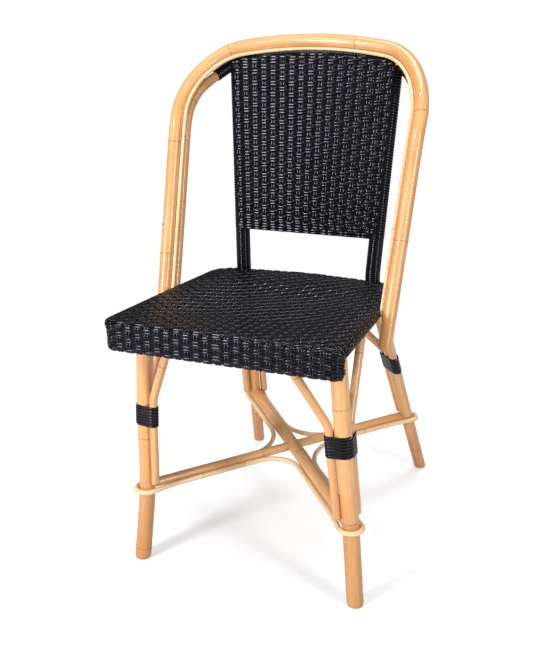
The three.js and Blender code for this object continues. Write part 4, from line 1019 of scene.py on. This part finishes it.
def rim_leg(s, direction):
    """The way down the rim from the flat top, or a short tuck where the strand meets the rim at a slant."""
    end = rim_end
    if on_apron(s):
        sideways = np.interp(s % OUTLINE_TOTAL, outline_lengths[:-1], outline_outward[:, 0])
        end = apron_end if abs(sideways) < APRON_SIDE_SHARE else foot_end / 2
    p = np.arange(SAMPLE_STEP, end, SAMPLE_STEP)
    points, outs = rim_points(np.full(len(p), s), p)
    out = outs[min(4, len(outs) - 1)]
    slant = abs(out[0] * direction[0] + out[1] * direction[1]) / math.hypot(out[0], out[1])
    if slant >= SEAT_TUCK_SLANT:
        return points, outs, p, True
    kept = slice(SEAT_TUCK_STEPS)
    points = points[kept] - UPWARD * (np.arange(SEAT_TUCK_STEPS)[:, None] * SEAT_TUCK_DROP)
    return points, outs[kept], p[kept], False


def top_strand(strands, start, end, axis, crossings, verticals):
    """A strand across the top, that at each end goes down the rim or tucks under it."""
    middle = (start + end) / 2
    met = [loop_meets(middle, middle + (target - middle) * SEAT_LINE_REACH) for target in (start, end)]
    if None in met:
        return
    (s0, q0), (s1, q1) = met
    flat = resampled(np.array([q0, q1]), SAMPLE_STEP)
    flat[:, 2] = seat_surface_z(flat[:, 0], flat[:, 1])
    normals = np.tile(unit(point(0.0, SEAT_SLOPE, 1.0)), (len(flat), 1))
    points0, outs0, p0, down0 = rim_leg(s0, unit(q1 - q0))
    points1, outs1, p1, down1 = rim_leg(s1, unit(q1 - q0))
    points = np.concatenate([points0[::-1], flat, points1])
    outs = np.concatenate([outs0[::-1], normals, outs1])
    flat_length = np.linalg.norm(q1 - q0)
    place = np.concatenate([-p0[::-1], lengths_along(flat), flat_length + p1])
    low, high = q0[axis] - CROSSING_MARGIN, q1[axis] + CROSSING_MARGIN
    crossed = [(at - q0[axis], sign) for at, sign in crossings if low < at < high]
    stations = [station for station, _ in crossed]
    values = [sign for _, sign in crossed]
    ends = ((s0, values[0], down0), (s1, values[-1], down1))
    verticals.extend((s, sign) for s, sign, down in ends if down)
    for ring in rings_below(s0):
        values.insert(0, -values[0])
        stations.insert(0, -ring)
    for ring in rings_below(s1):
        values.append(-values[-1])
        stations.append(flat_length + ring)
    strands.weave(points, outs, weave_height(place, stations, values), SEAT_STRAND_WIDTH)


def seat_weave():
    strands = Strands(11)
    verticals = []
    for c in SEAT_COLUMNS:
        crossings = [(y, (-1) ** (c + r)) for r, y in enumerate(seat_rows)]
        for side in PAIR:
            lateral = side * SEAT_SPACING
            start = point(column_x(c, SEAT_FRONT_Y) + lateral, SEAT_FRONT_Y, 0.0)
            end = point(column_x(c, SEAT_REAR_Y) + lateral, SEAT_REAR_Y + SEAT_REAR_BOW, 0.0)
            top_strand(strands, start, end, 1, crossings, verticals)
    for r, y in enumerate(seat_rows):
        for side in PAIR:
            at = y + side * SEAT_SPACING
            end = point(half_width(at), at, 0.0)
            crossings = [(column_x(c, at), -((-1) ** (c + r))) for c in SEAT_COLUMNS]
            top_strand(strands, mirrored(end), end, 0, crossings, verticals)
    rim_rings(strands, verticals)
    strands.build("woven_seat", WEAVE, "seat_weave")


def rim_rings(strands, verticals):
    """Pairs of strands round the rim, over and under what comes down from the top."""
    merged = []
    for s, sign in sorted(verticals):
        if merged and s - merged[-1][0][-1] < RING_PAIR_REACH and sign == merged[-1][1]:
            merged[-1][0].append(s)
        else:
            merged.append(([s], sign))
    places = np.array([np.mean(found) for found, _ in merged])
    signs = np.array([sign for _, sign in merged], float)
    around = np.r_[np.arange(0.0, OUTLINE_TOTAL, SAMPLE_STEP), OUTLINE_TOTAL]
    stations = np.r_[places[-1] - OUTLINE_TOTAL, places, places[0] + OUTLINE_TOTAL]
    behind_from = APRON_REACH - RING_OVERLAP
    behind = around[(around > behind_from) & (around < OUTLINE_TOTAL - behind_from)]
    for j, ring in enumerate(RIM_RINGS + UNDER_RINGS):
        way = around if ring in RIM_RINGS else behind
        values = np.r_[signs[-1], signs, signs[0]] * (-1) ** j
        height = weave_height(way, stations, values)
        for side in PAIR:
            points, normals = rim_points(way, np.full(len(way), ring + side * SEAT_SPACING))
            strands.weave(points, normals, height, SEAT_STRAND_WIDTH)
    front = on_apron(places)
    near = from_front(places[front])
    order = np.argsort(near)
    apron_rings(strands, near[order], signs[front][order])


def apron_rings(strands, places, signs):
    """Pairs of strands round the apron: its front, its ends and its back."""
    reach = APRON_REACH - APRON_RING_INSET
    front = np.arange(-reach, reach, SAMPLE_STEP)
    half = SEAT_FRONT_HALF - APRON_END_INSET - APRON_REAR_CORNER - MIDDLE_INSET
    back_x = np.linspace(1.0, -1.0, APRON_BACK_STEPS) * half
    closed = np.r_[0:len(front) + APRON_BACK_STEPS, 0:2]
    for j, ring in enumerate(APRON_RINGS, len(RIM_RINGS)):
        values = signs * (-1) ** j
        height = weave_height(front, places, values)
        behind = weave_height(-back_x, places, values)
        for side in PAIR:
            p = ring + side * SEAT_SPACING
            points, normals = rim_points(front, np.full(len(front), p))
            depth, drop = interpolated(p - rim_quarter, APRON_LENGTHS, APRON_PROFILE)
            back_y = SEAT_FRONT_Y + APRON_DEPTH - depth
            back = np.full((APRON_BACK_STEPS, 3), (0.0, back_y, seat_top_z(back_y) - drop))
            back[:, 0] = back_x
            loop = np.concatenate([points, back])
            outs = np.concatenate([normals, np.tile(BACKWARD, (APRON_BACK_STEPS, 1))])
            heights = np.r_[height, -behind[::-1]]
            strands.weave(loop[closed], outs[closed], heights[closed], SEAT_STRAND_WIDTH)


# Back panel
PANEL_TILT = math.atan(BACK_LEAN)
PANEL_UP = point(0.0, math.sin(PANEL_TILT), math.cos(PANEL_TILT))
PANEL_FORWARD = point(0.0, -math.cos(PANEL_TILT), math.sin(PANEL_TILT))
PANEL_ORIGIN = point(0.0, POST_BEND[1], POST_BEND[2])


def panel_point(x, s, depth):
    """Points at lengths s up the panel and a depth in front of it."""
    x, s, depth = np.broadcast_arrays(x, s, depth)
    offset = x[..., None] * ACROSS + s[..., None] * PANEL_UP
    return PANEL_ORIGIN + offset + depth[..., None] * PANEL_FORWARD


def panel_s(height):
    return (height - POST_BEND[2]) / math.cos(PANEL_TILT)


BAR_S = panel_s(BACK_BAR_Z)
POST_TOP_S = panel_s(POST_TOP_Z)


def post_x(s):
    share = s * math.cos(PANEL_TILT) / (POST_TOP_Z - POST_BEND[2])
    return POST_BEND[0] + (POST_TOP_X - POST_BEND[0]) * share


crown_part = inner_hoop_path[inner_hoop_path[:, 2] > CROWN_Z_FROM]
crown_part = crown_part[np.abs(crown_part[:, 0]) < CROWN_HALF]
crown_part = crown_part[np.argsort(crown_part[:, 0])]


def crown_s(x):
    return np.interp(x, crown_part[:, 0], panel_s(crown_part[:, 2]))


panel_rows = np.arange(BAR_S - FIRST_ROW_DROP, float(crown_s(0.0)) + LAST_ROW_RISE, PANEL_ROW_PITCH)


def panel_column_x(c, s):
    return c * (post_x(s) - POST_INSET) / PANEL_COLUMN_COUNT


def with_ends(stations, values, reach):
    """Beyond the first and the last crossing a strand eases to the middle of the weave."""
    return [stations[0] - reach, *stations, stations[-1] + reach], [0.0, *values, 0.0]


def row_end(half, s, wraps):
    """The right end of a row: round the post, or into the hoop where the row is above the posts."""
    if wraps:
        angles = np.radians(np.arange(*POST_TURN))
        cosines, sines = np.cos(angles), np.sin(angles)
        normals = units(cosines[:, None] * ACROSS + sines[:, None] * PANEL_FORWARD)
        place = half + WEB_DEPTH * (math.pi / 2 - angles)
        return panel_point(half + WEB_DEPTH * cosines, s, WEB_DEPTH * sines), normals, place
    place = half + np.array(ROW_END_REACHES)
    normals = np.tile(PANEL_FORWARD, (len(place), 1))
    return panel_point(place, s, WEB_DEPTH - np.array(ROW_END_DEPTHS)), normals, place


def panel_row(strands, r, s):
    """A strand across the web and round both posts, or into the hoop where it is above them."""
    half = float(post_x(s))
    wraps = s < POST_TOP_S - POST_TOP_MARGIN
    if not wraps:
        xs = np.linspace(0.0, half, CROWN_SAMPLES)
        below = xs[crown_s(xs) + CROWN_OVERLAP > s]
        if not len(below) or below[-1] < SHORTEST_ROW_HALF:
            return
        half = float(below[-1])
    count = max(FEWEST_ROW_POINTS, len(np.arange(-half, half + 1e-6, ROW_STEP)))
    flat = np.linspace(-half, half, count)
    end, end_out, end_place = row_end(half, s, wraps)
    points = np.concatenate([mirrored(end)[::-1], panel_point(flat, s, WEB_DEPTH), end])
    web_out = np.tile(PANEL_FORWARD, (len(flat), 1))
    normals = np.concatenate([mirrored(end_out)[::-1], web_out, end_out])
    place = np.r_[-end_place[::-1], flat, end_place]
    columns = [c for c in PANEL_COLUMNS if abs(panel_column_x(c, s)) < half + WEB_SLACK]
    stations, values = with_ends(
        [panel_column_x(c, s) for c in columns], [-((-1) ** (c + r)) for c in columns], ROW_END_EASE)
    strands.weave(points, normals, weave_height(place, stations, values), PANEL_STRAND_WIDTH)


def panel_column(strands, c, side):
    """A strand up the web, from behind the bar below to behind the hoop above."""
    lateral = side * PANEL_SPACING
    top_s = float(crown_s(panel_column_x(c, crown_s(0.0) - COLUMN_AIM_DROP) + lateral))
    web_low = BAR_S + WEB_ABOVE_BAR
    web_high = top_s - WEB_BELOW_CROWN
    web_s = np.arange(web_low, web_high, WEB_STEP)
    bar_radius = BACK_RAIL_RADIUS + BAR_STAND_OFF
    hoop_radius = INNER_HOOP_RADIUS + CROWN_STAND_OFF
    bar_turn = np.radians(np.linspace(*BAR_TURN))
    crown_turn = np.radians(np.linspace(*CROWN_TURN))
    s = np.r_[BAR_S - bar_radius * np.cos(bar_turn), web_s, top_s + hoop_radius * np.sin(crown_turn)]
    depth = np.r_[
        bar_radius * np.sin(bar_turn), np.full(len(web_s), WEB_DEPTH), hoop_radius * np.cos(crown_turn)]
    s, depth = evened(resampled(np.stack([s, depth], 1), COLUMN_STEP)).T
    points = panel_point(panel_column_x(c, np.clip(s, web_low, web_high)) + lateral, s, depth)
    normals = units(np.cross(directions(points), ACROSS))
    inside = np.flatnonzero((s > web_low) & (s < web_high) & (depth > WEB_FRONT_DEPTH))
    if np.mean(normals[inside] @ PANEL_FORWARD) < 0:
        normals = -normals
    along = lengths_along(points)
    web = slice(inside[0], inside[-1] + 1)
    crossed = [(r, row_s) for r, row_s in enumerate(panel_rows) if s[inside[0]] < row_s < s[inside[-1]]]
    stations, values = with_ends(
        [np.interp(row_s, s[web], along[web]) for _, row_s in crossed],
        [(-1) ** (c + r) for r, _ in crossed], COLUMN_END_EASE)
    strands.weave(points, normals, weave_height(along, stations, values), PANEL_STRAND_WIDTH)


def back_weave():
    strands = Strands(23)
    for r, s in enumerate(panel_rows):
        for side in PAIR:
            panel_row(strands, r, s + side * PANEL_SPACING)
    for c in PANEL_COLUMNS:
        for side in PAIR:
            panel_column(strands, c, side)
    crown_under_winding(strands)
    strands.build("woven_back_panel", WEAVE, "back_weave")


# Bindings and windings
def sunk_ends(steps, reach, depth):
    """How far a wound cane is pulled in at each step: at its ends it goes into the pole."""
    index = np.arange(steps + 1)
    return np.clip(1 - np.minimum(index, steps - index) / reach, 0, 1) * depth


def helix(path, radius, start, turns, pitch, thickness, per_turn=WINDING_STEPS):
    """The middle line of a cane wound round a pole, and its outward directions."""
    steps = int(turns * per_turn)
    turn = np.arange(steps + 1) / per_turn
    lengths = start + turn * pitch
    dense = resampled(path, WINDING_PATH_STEP)
    tangents = units(interpolated(lengths, lengths_along(dense), directions(dense)))
    first = units(BACKWARD - tangents * tangents[:, 1:2])
    second = np.cross(tangents, first)
    angle = turn * 2 * math.pi
    outward = first * np.cos(angle)[:, None] + second * np.sin(angle)[:, None]
    sunk = sunk_ends(steps, per_turn * WINDING_SINK_TURNS, WINDING_SINK)
    reach = radius + WINDING_LIFT + thickness / 2 - sunk
    return placed(path, lengths) + outward * reach[:, None], outward


def crown_under_winding(strands):
    """A close winding on the inner hoop, under the canes that the panel hangs from."""
    across = np.abs(inner_hoop_path[:, 0])
    crown = np.flatnonzero(
        (across < POST_TOP_X + CROWN_WINDING_REACH) & (inner_hoop_path[:, 2] > CROWN_WINDING_Z))
    start, end = lengths_along(inner_hoop_path)[crown[[0, -1]]]
    turns = (end - start) / CROWN_WINDING_PITCH
    ring, outward = helix(
        inner_hoop_path, INNER_HOOP_RADIUS, start, turns,
        CROWN_WINDING_PITCH, CROWN_WINDING_THICKNESS, CROWN_WINDING_STEPS)
    strands.add(ring, outward, CROWN_WINDING_PITCH + CROWN_WINDING_OVERLAP, CROWN_WINDING_THICKNESS)


def taut_outline(circles):
    """The outline of a cane pulled round several round poles: points and outward directions."""
    angles = np.linspace(0, 2 * math.pi, BINDING_DIRECTIONS, endpoint=False)
    away = np.stack([np.cos(angles), np.sin(angles)], 1)
    centres, radii = circles[:, :2], circles[:, 2]
    which = np.argmax(away @ centres.T + radii, 1)
    hull = centres[which] + away * radii[which][:, None]
    closed = np.concatenate([hull, hull[:1]])
    points = placed(closed, np.linspace(0, lengths_along(closed)[-1], BINDING_STEPS, endpoint=False))
    tangent = np.roll(points, -1, 0) - np.roll(points, 1, 0)
    return points, units(np.stack([tangent[:, 1], -tangent[:, 0]], 1))


def toward(angle):
    return point(math.cos(math.radians(angle)), math.sin(math.radians(angle)), 0.0)


def leg_binding(leg_path, leg_radius, slant, angles, middle):
    """The middle line of the cane round a right leg and its two braces, and its outward directions."""
    reach = leg_radius + BRACE_RADIUS + FIT_GAP * 2
    stand_off = BINDING_THICKNESS / 2 + WINDING_LIFT
    circles = [(0.0, 0.0, leg_radius + stand_off)]
    circles += [(*(toward(angle) * reach)[:2], BRACE_RADIUS + stand_off) for angle in angles]
    points, outward = taut_outline(np.array(circles))
    near = [at_height(leg_path, middle + side * BINDING_SLANT_REACH) for side in (-1, 1)]
    along = unit(near[1] - near[0])
    steps = BINDING_TURNS * BINDING_STEPS
    index = np.arange(steps + 1)
    turn = index / BINDING_STEPS - BINDING_TURNS / 2
    hull = points[index % BINDING_STEPS] * (1.0, slant)
    out = outward[index % BINDING_STEPS] / (1.0, slant)
    level = np.zeros((len(index), 1))
    normals = units(np.hstack([out, level]))
    normals = units(normals - along * (normals @ along)[:, None])
    centres = at_height(leg_path, middle) + along * (turn * BINDING_PITCH)[:, None]
    ring = centres + np.hstack([hull, level])
    sunk = sunk_ends(steps, BINDING_STEPS * BINDING_SINK_TURNS, BINDING_SINK)
    return ring - normals * sunk[:, None], normals


def wound_cane(name, ring, normals, width, thickness, node, seed):
    strands = Strands(seed)
    strands.add(ring, normals, width, thickness)
    strands.build(name, BINDING, node)


def build_bindings():
    front = leg_binding(
        front_leg_path, FRONT_LEG_RADIUS, 1.0, (FRONT_INNER_ANGLE, FRONT_SIDE_ANGLE), FRONT_BINDING_Z)
    rear = leg_binding(
        rear_post_path, REAR_POST_RADIUS, REAR_SLANT, (REAR_INNER_ANGLE, REAR_SIDE_ANGLE), REAR_BINDING_Z)
    for side, _, *canes in both_sides(*front, *rear):
        for end, cane, seed in (("front", canes[:2], 91), ("rear", canes[2:], 92)):
            wound_cane(
                f"binding_cane_{end}_{side}", *cane, BINDING_WIDTH, BINDING_THICKNESS,
                f"binding_{end}_leg_{side}", seed)


def build_windings():
    low = length_at_height(rear_post_path, POST_WINDING_Z)
    high = length_at_height(rear_post_path, BACK_BAR_Z - POST_WINDING_TOP_DROP)
    turns = round((high - low) / POST_WINDING_PITCH)
    post = helix(rear_post_path, REAR_POST_RADIUS, low, turns, POST_WINDING_PITCH, POST_WINDING_THICKNESS)
    for side, _, *cane in both_sides(*post):
        wound_cane(
            f"post_winding_cane_{side}", *cane, POST_WINDING_WIDTH, POST_WINDING_THICKNESS,
            f"winding_rear_post_{side}", 95)
    near_post = POST_TOP_X + REAR_POST_RADIUS + CORNER_WINDING_CLEARANCE
    right = inner_hoop_path[:len(inner_hoop_path) // 2]
    top = np.flatnonzero((right[:, 0] < near_post) & (right[:, 2] > HOOP_BEND_Z))[0]
    start = lengths_along(right)[top] + CORNER_WINDING_OVERLAP - CORNER_WINDING_TURNS * CORNER_WINDING_PITCH
    corner = helix(
        inner_hoop_path, INNER_HOOP_RADIUS, start,
        CORNER_WINDING_TURNS, CORNER_WINDING_PITCH, STRAND_THICKNESS)
    for side, _, *cane in both_sides(*corner):
        wound_cane(
            f"corner_winding_cane_{side}", *cane, CORNER_WINDING_WIDTH, STRAND_THICKNESS,
            f"winding_hoop_corner_{side}", 97)


# Poles of the legs, the hoops, the rails and the braces
def spaced_nodes(path, seed, low, high):
    """Nodes along a cane, at uneven distances from low to high."""
    total = lengths_along(path)[-1]
    random = np.random.default_rng(seed)
    at = random.uniform(FIRST_NODE_FROM, low)
    found = []
    while at < total - NODE_END_CLEARANCE:
        found.append(at)
        at += random.uniform(low, high)
    return found


def build_legs():
    for side, number, front, rear in both_sides(front_leg_path, rear_post_path):
        pole(f"front_leg_pole_{side}", front, FRONT_LEG_RADIUS, LEG, f"front_leg_{side}",
             nodes=FRONT_LEG_NODES[number], sides=28, bevel=1.0, seed=31 + number, foot=True)
        pole(f"rear_post_pole_{side}", rear, REAR_POST_RADIUS, LEG, f"rear_post_{side}",
             nodes=REAR_POST_NODES[number], sides=24, bevel=1.0, seed=33 + number, foot=True)


def build_hoops():
    pole("outer_hoop_pole", hoop_path, OUTER_HOOP_RADIUS, POLE, "outer_hoop",
         nodes=HOOP_NODES, sides=28, step=5.0, seed=41)
    pole("inner_hoop_pole", inner_hoop_path, INNER_HOOP_RADIUS, POLE, "inner_hoop",
         nodes=spaced_nodes(inner_hoop_path, 5, 150.0, 235.0), sides=22, step=5.0, seed=42)
    pole("infill_cane", infill_path, INFILL_RADIUS, TRIM, "hoop_infill_cane",
         nodes=spaced_nodes(infill_path, 6, 230.0, 330.0), sides=12, step=5.0, bevel=0.5, seed=43)


def rail(name, path, drop, radius, node, nodes, seed):
    """A rail at a given drop below the top of the seat."""
    path = path.copy()
    path[:, 2] = seat_top_z(path[:, 1]) - drop
    pole(name, path, radius, DARK_INNER, node, nodes, sides=14, seed=seed)


def rail_loop(layer, inset, drop, radius):
    """Four rails round the seat, that meet at the front legs and the rear posts."""
    front_bend = max(SEAT_FRONT_CORNER - inset, radius * RAIL_BEND_SHARE)
    corners = seat_corners(inset, front_bend, SEAT_REAR_CORNER - inset)
    right = resampled(fillet_path(corners), SAMPLE_STEP)
    leg = np.flatnonzero(right[:, 1] > FRONT_TOP[1])[0]
    post = np.flatnonzero((right[:, 0] < POST_BEND[0]) & (right[:, 1] > 0))[0]
    front = np.concatenate([mirrored(right[:leg])[::-1][:-1], right[:leg]])
    rear = np.concatenate([right[post:], mirrored(right[post:])[::-1][1:]])
    rail(f"front_{layer}_rail", front, drop, radius, f"seat_front_{layer}_rail", [140, 330], 51)
    for side, number, part in both_sides(right[leg:post + 1]):
        node = f"seat_side_{layer}_rail_{side}"
        rail(f"side_{layer}_rail_{side}", part, drop, radius, node, [110, 280], 52 + number)
    rail(f"rear_{layer}_rail", rear, drop, radius, f"seat_rear_{layer}_rail", [90], 54)


def build_rails():
    rim_inset = SEAT_SKIN + RAIL_CLEARANCE + RIM_RAIL_RADIUS
    bearer_inset = rim_inset + RIM_RAIL_RADIUS + FIT_GAP + BEARER_RADIUS
    rail_loop("rim", rim_inset, rim_inset, RIM_RAIL_RADIUS)
    rail_loop("bearer", bearer_inset, SEAT_HEIGHT - BEARER_RADIUS, BEARER_RADIUS)
    end = point(SEAT_FRONT_HALF - APRON_RAIL_END_INSET, SEAT_FRONT_Y + rim_inset, 0.0)
    straight = np.array([mirrored(end), end])
    for layer, drop in (("lower", APRON_HEIGHT - rim_inset), ("upper", APRON_HEIGHT / 2)):
        node = f"seat_apron_rail_{layer}"
        rail(f"apron_rail_{layer}_pole", straight, drop, RIM_RAIL_RADIUS, node, [120, 260], 55)


def brace_path(leg_path, leg_radius, slant, meet_z, bend, angle, top, end_z):
    """A brace from the seat's underside to its leg, and on down along the leg."""
    reach = leg_radius + BRACE_RADIUS + FIT_GAP * 2
    offset = toward(angle) * reach * point(1.0, slant, 0.0)
    run = [at_height(leg_path, z) + offset for z in np.linspace(meet_z, end_z, BRACE_STEPS)]
    upper = point(*top, seat_top_z(top[1]) - SEAT_HEIGHT + BRACE_TOP_REACH)
    path = resampled(fillet_path([(upper, 0), (run[0], bend), *((p, 0) for p in run[1:])]), BRACE_STEP)
    return path[np.flatnonzero(path[:, 2] < under_seat(path[:, 1]))[0]:]


def build_braces():
    front = (front_leg_path, FRONT_LEG_RADIUS, 1.0, FRONT_MEET_Z, FRONT_BRACE_BEND)
    rear = (rear_post_path, REAR_POST_RADIUS, REAR_SLANT, REAR_MEET_Z, REAR_BRACE_BEND)
    braces = {
        "front_leg_inner": (front, FRONT_INNER_ANGLE, FRONT_BRACE_TOP, BRACE_END_Z, [52]),
        "front_leg_side": (front, FRONT_SIDE_ANGLE, FRONT_SIDE_BRACE_TOP, BRACE_END_Z, [41, 150]),
        "rear_leg_inner": (rear, REAR_INNER_ANGLE, REAR_BRACE_TOP, REAR_BRACE_END_Z, [70, 210]),
        "rear_leg_side": (rear, REAR_SIDE_ANGLE, REAR_SIDE_BRACE_TOP, BRACE_END_Z, [120]),
    }
    for seed, (name, (leg, *shape, nodes)) in zip(range(61, 69, 2), braces.items()):
        for side, number, path in both_sides(brace_path(*leg, *shape)):
            pole(f"brace_pole_{name}_{side}", path, BRACE_RADIUS, BRACE,
                 f"brace_{name}_{side}", nodes=[node + LEFT_NODE_SHIFT * number for node in nodes],
                 bevel=1.2, seed=seed + number, cut_by_seat=True)


def build_bar():
    end = at_height(rear_post_path, BACK_BAR_Z)
    pole("panel_bar", np.array([mirrored(end), end]), BACK_RAIL_RADIUS, DARK_INNER,
         "back_bottom_bar", nodes=[120], sides=18, seed=99)


# Stretcher and trim canes
CROSSING = point(0.0, CROSSING_Y, RING_Z)
TRIM_CENTRE = CROSSING - UPWARD * TRIM_DROP
ARM_RADIUS = {
    "front_right": THROUGH_RADIUS,
    "rear_left": THROUGH_RADIUS,
    "rear_right": HALF_RADIUS,
    "front_left": HALF_RADIUS,
}


def leg_path_of(name):
    path = front_leg_path if name.startswith("front") else rear_post_path
    return path if name.endswith("right") else mirrored(path)


def arm_end(name):
    return at_height(leg_path_of(name), RING_Z)


def arm_direction(name):
    return unit(arm_end(name) - CROSSING)


def on_left(direction):
    return point(-direction[1], direction[0], 0.0)


def trim_reach(name):
    return math.sqrt((ARM_RADIUS[name] + TRIM_RADIUS + FIT_GAP) ** 2 - TRIM_DROP**2)


def beside_arm(name, reach, side):
    direction = arm_direction(name)
    return TRIM_CENTRE + direction * reach + on_left(direction) * side * trim_reach(name)


def ring_round(name):
    """A trim cane's way round a leg."""
    direction = arm_direction(name)
    side = on_left(direction)
    leg = at_height(leg_path_of(name), TRIM_CENTRE[2])
    leg_reach = FRONT_LEG_RADIUS if name.startswith("front") else REAR_POST_RADIUS * REAR_SLANT
    radius = leg_reach + (TRIM_RADIUS + FIT_GAP) * REAR_SLANT + FIT_GAP
    angles = np.radians(np.linspace(-RING_SWEEP, RING_SWEEP, RING_STEPS))
    arc = [leg + direction * radius * math.cos(a) + side * radius * math.sin(a) for a in angles]
    reach = np.linalg.norm(leg - TRIM_CENTRE) - TRIM_STRAIGHTEN_REACH
    return [beside_arm(name, reach, -1), *arc, beside_arm(name, reach, 1)]


def trim_corner(start_arm, end_arm, radius):
    """A trim cane's bend from beside one arm to beside the next."""
    a = arm_direction(start_arm)
    b = arm_direction(end_arm)
    opening = math.acos(a @ b)
    vertex = TRIM_CENTRE + (a * trim_reach(end_arm) + b * trim_reach(start_arm)) / math.sin(opening)
    tangent = radius / math.tan(opening / 2)
    corners = [(vertex + a * tangent * 2, 0), (vertex, radius), (vertex + b * tangent * 2, 0)]
    return fillet_path(corners)[1:-1]


def build_stretcher():
    through = np.array([arm_end("rear_left"), CROSSING, arm_end("front_right")])
    pole("stretcher_through_pole", through, THROUGH_RADIUS, STRETCHER,
         "stretcher_through", nodes=[118, 305], sides=26, seed=71)
    for name, nodes in (("front_left", [64]), ("rear_right", [120])):
        path = np.array([CROSSING + arm_direction(name) * HALF_START, arm_end(name)])
        node = f"stretcher_half_{name}"
        pole(f"{node}_pole", path, HALF_RADIUS, STRETCHER, node, nodes=nodes, seed=84)


def build_trims():
    trims = {
        "front": [
            beside_arm("front_left", TRIM_JOINT_REACH, 1),
            *trim_corner("front_left", "front_right", FRONT_TRIM_RADIUS),
            *ring_round("front_right"),
            *trim_corner("front_right", "rear_right", SIDE_TRIM_RADIUS),
            beside_arm("rear_right", TRIM_JOINT_REAR_REACH, -1),
        ],
        "rear": [
            beside_arm("rear_right", TRIM_JOINT_REAR_REACH + FIT_GAP, -1),
            *ring_round("rear_right"),
            *trim_corner("rear_right", "rear_left", REAR_TRIM_RADIUS),
            *ring_round("rear_left"),
            *trim_corner("rear_left", "front_left", SIDE_TRIM_RADIUS),
            *ring_round("front_left"),
            beside_arm("front_left", TRIM_JOINT_REACH + FIT_GAP, 1),
        ],
    }
    for name, points in trims.items():
        path = evened(resampled(np.array(points), TRIM_STEP))
        pole(f"trim_cane_{name}_bent", path, TRIM_RADIUS, TRIM, f"trim_cane_{name}",
             nodes=spaced_nodes(path, 9, 160.0, 260.0), sides=14, step=4.0, bevel=0.5, seed=81)


def dress_nails():
    steel = nail_steel()
    for name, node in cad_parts.items():
        if name.startswith("hoop_nail"):
            node.data.materials.clear()
            node.data.materials.append(steel)


build_legs()
build_hoops()
build_rails()
build_braces()
build_stretcher()
build_trims()
build_bindings()
build_windings()
build_bar()
seat_weave()
back_weave()
dress_nails()


# Floor, backdrop, light and camera
def build_floor():
    """Pale floor that keeps the shadow near the chair and fades to the background's white further away."""
    material, tree, shader = new_material("pale_floor")
    camera_ray = add_node(tree, "ShaderNodeLightPath", {}).outputs["Is Camera Ray"]
    lift = add_node(tree, "ShaderNodeMath", {0: camera_ray, 1: FLOOR_LIFT}, operation="MULTIPLY")
    fill_inputs(tree, shader, {
        "Base Color": FLOOR_COLOUR,
        "Roughness": 0.9,
        "Specular IOR Level": 0.1,
        "Emission Color": WHITE,
        "Emission Strength": lift.outputs[0],
    })
    place = add_node(tree, "ShaderNodeNewGeometry", {}).outputs["Position"]
    away = add_node(tree, "ShaderNodeVectorMath", {0: place}, operation="LENGTH")
    far = add_node(tree, "ShaderNodeMapRange", {
        "Value": away.outputs["Value"],
        "From Min": FLOOR_FADE_FROM,
        "From Max": FLOOR_FADE_TO,
    }, interpolation_type="SMOOTHSTEP")
    seen = add_node(tree, "ShaderNodeMath", {0: far.outputs[0], 1: camera_ray}, operation="MULTIPLY")
    white = add_node(tree, "ShaderNodeEmission", {"Strength": 1.0})
    shares = {0: seen.outputs[0], 1: shader.outputs[0], 2: white.outputs[0]}
    mix = add_node(tree, "ShaderNodeMixShader", shares)
    fill_inputs(tree, tree.nodes["Material Output"], {"Surface": mix.outputs[0]})
    mesh = bpy.data.meshes.new("floor")
    corners = [(x * FLOOR_HALF, y * FLOOR_HALF, 0) for x, y in ((-1, -1), (1, -1), (1, 1), (-1, 1))]
    mesh.from_pydata(corners, [], [(0, 1, 2, 3)])
    mesh.materials.append(material)
    floor = bpy.data.objects.new("floor", mesh)
    bpy.context.scene.collection.objects.link(floor)


def build_world():
    """White for the camera, and a weak even fill for everything else."""
    world = bpy.data.worlds.new("studio")
    bpy.context.scene.world = world
    world.use_nodes = True
    tree = world.node_tree
    rays = add_node(tree, "ShaderNodeLightPath", {}).outputs
    seen = add_node(tree, "ShaderNodeMath", {
        0: rays["Is Camera Ray"],
        1: rays["Is Transmission Ray"],
    }, operation="MAXIMUM")
    strength = add_node(tree, "ShaderNodeMapRange", {
        "Value": seen.outputs[0],
        "To Min": FILL_STRENGTH,
        "To Max": 1.0,
    })
    fill_inputs(tree, tree.nodes["Background"], {"Color": WHITE, "Strength": strength.outputs[0]})


def add_to_stage(thing, right, up, back, place):
    """Links a light or the camera to the scene, turned and placed by its axes."""
    rows = [[*row] for row in zip(right, up, back, place)]
    thing.matrix_world = Matrix([*rows, [0, 0, 0, 1]])
    bpy.context.scene.collection.objects.link(thing)


def build_lights():
    for name, (place, target, width, height, power) in SOFTBOXES.items():
        data = bpy.data.lights.new(name, "AREA")
        data.energy = power
        data.shape = "RECTANGLE"
        data.size = width
        data.size_y = height
        back = -unit(point(*target) - point(*place))
        right = unit(np.cross(UPWARD, back))
        add_to_stage(bpy.data.objects.new(name, data), right, np.cross(back, right), back, place)


def build_camera():
    data = bpy.data.cameras.new("camera")
    data.lens = CAMERA_LENS
    data.sensor_width = CAMERA_SENSOR_WIDTH
    camera = bpy.data.objects.new("camera", data)
    right = unit(point(*CAMERA_RIGHT))
    up = unit(point(*CAMERA_UP))
    add_to_stage(camera, right, up, np.cross(right, up), CAMERA_PLACE)
    bpy.context.scene.camera = camera


build_floor()
build_world()
build_lights()
build_camera()
bpy.context.scene.view_settings.view_transform = "Standard"
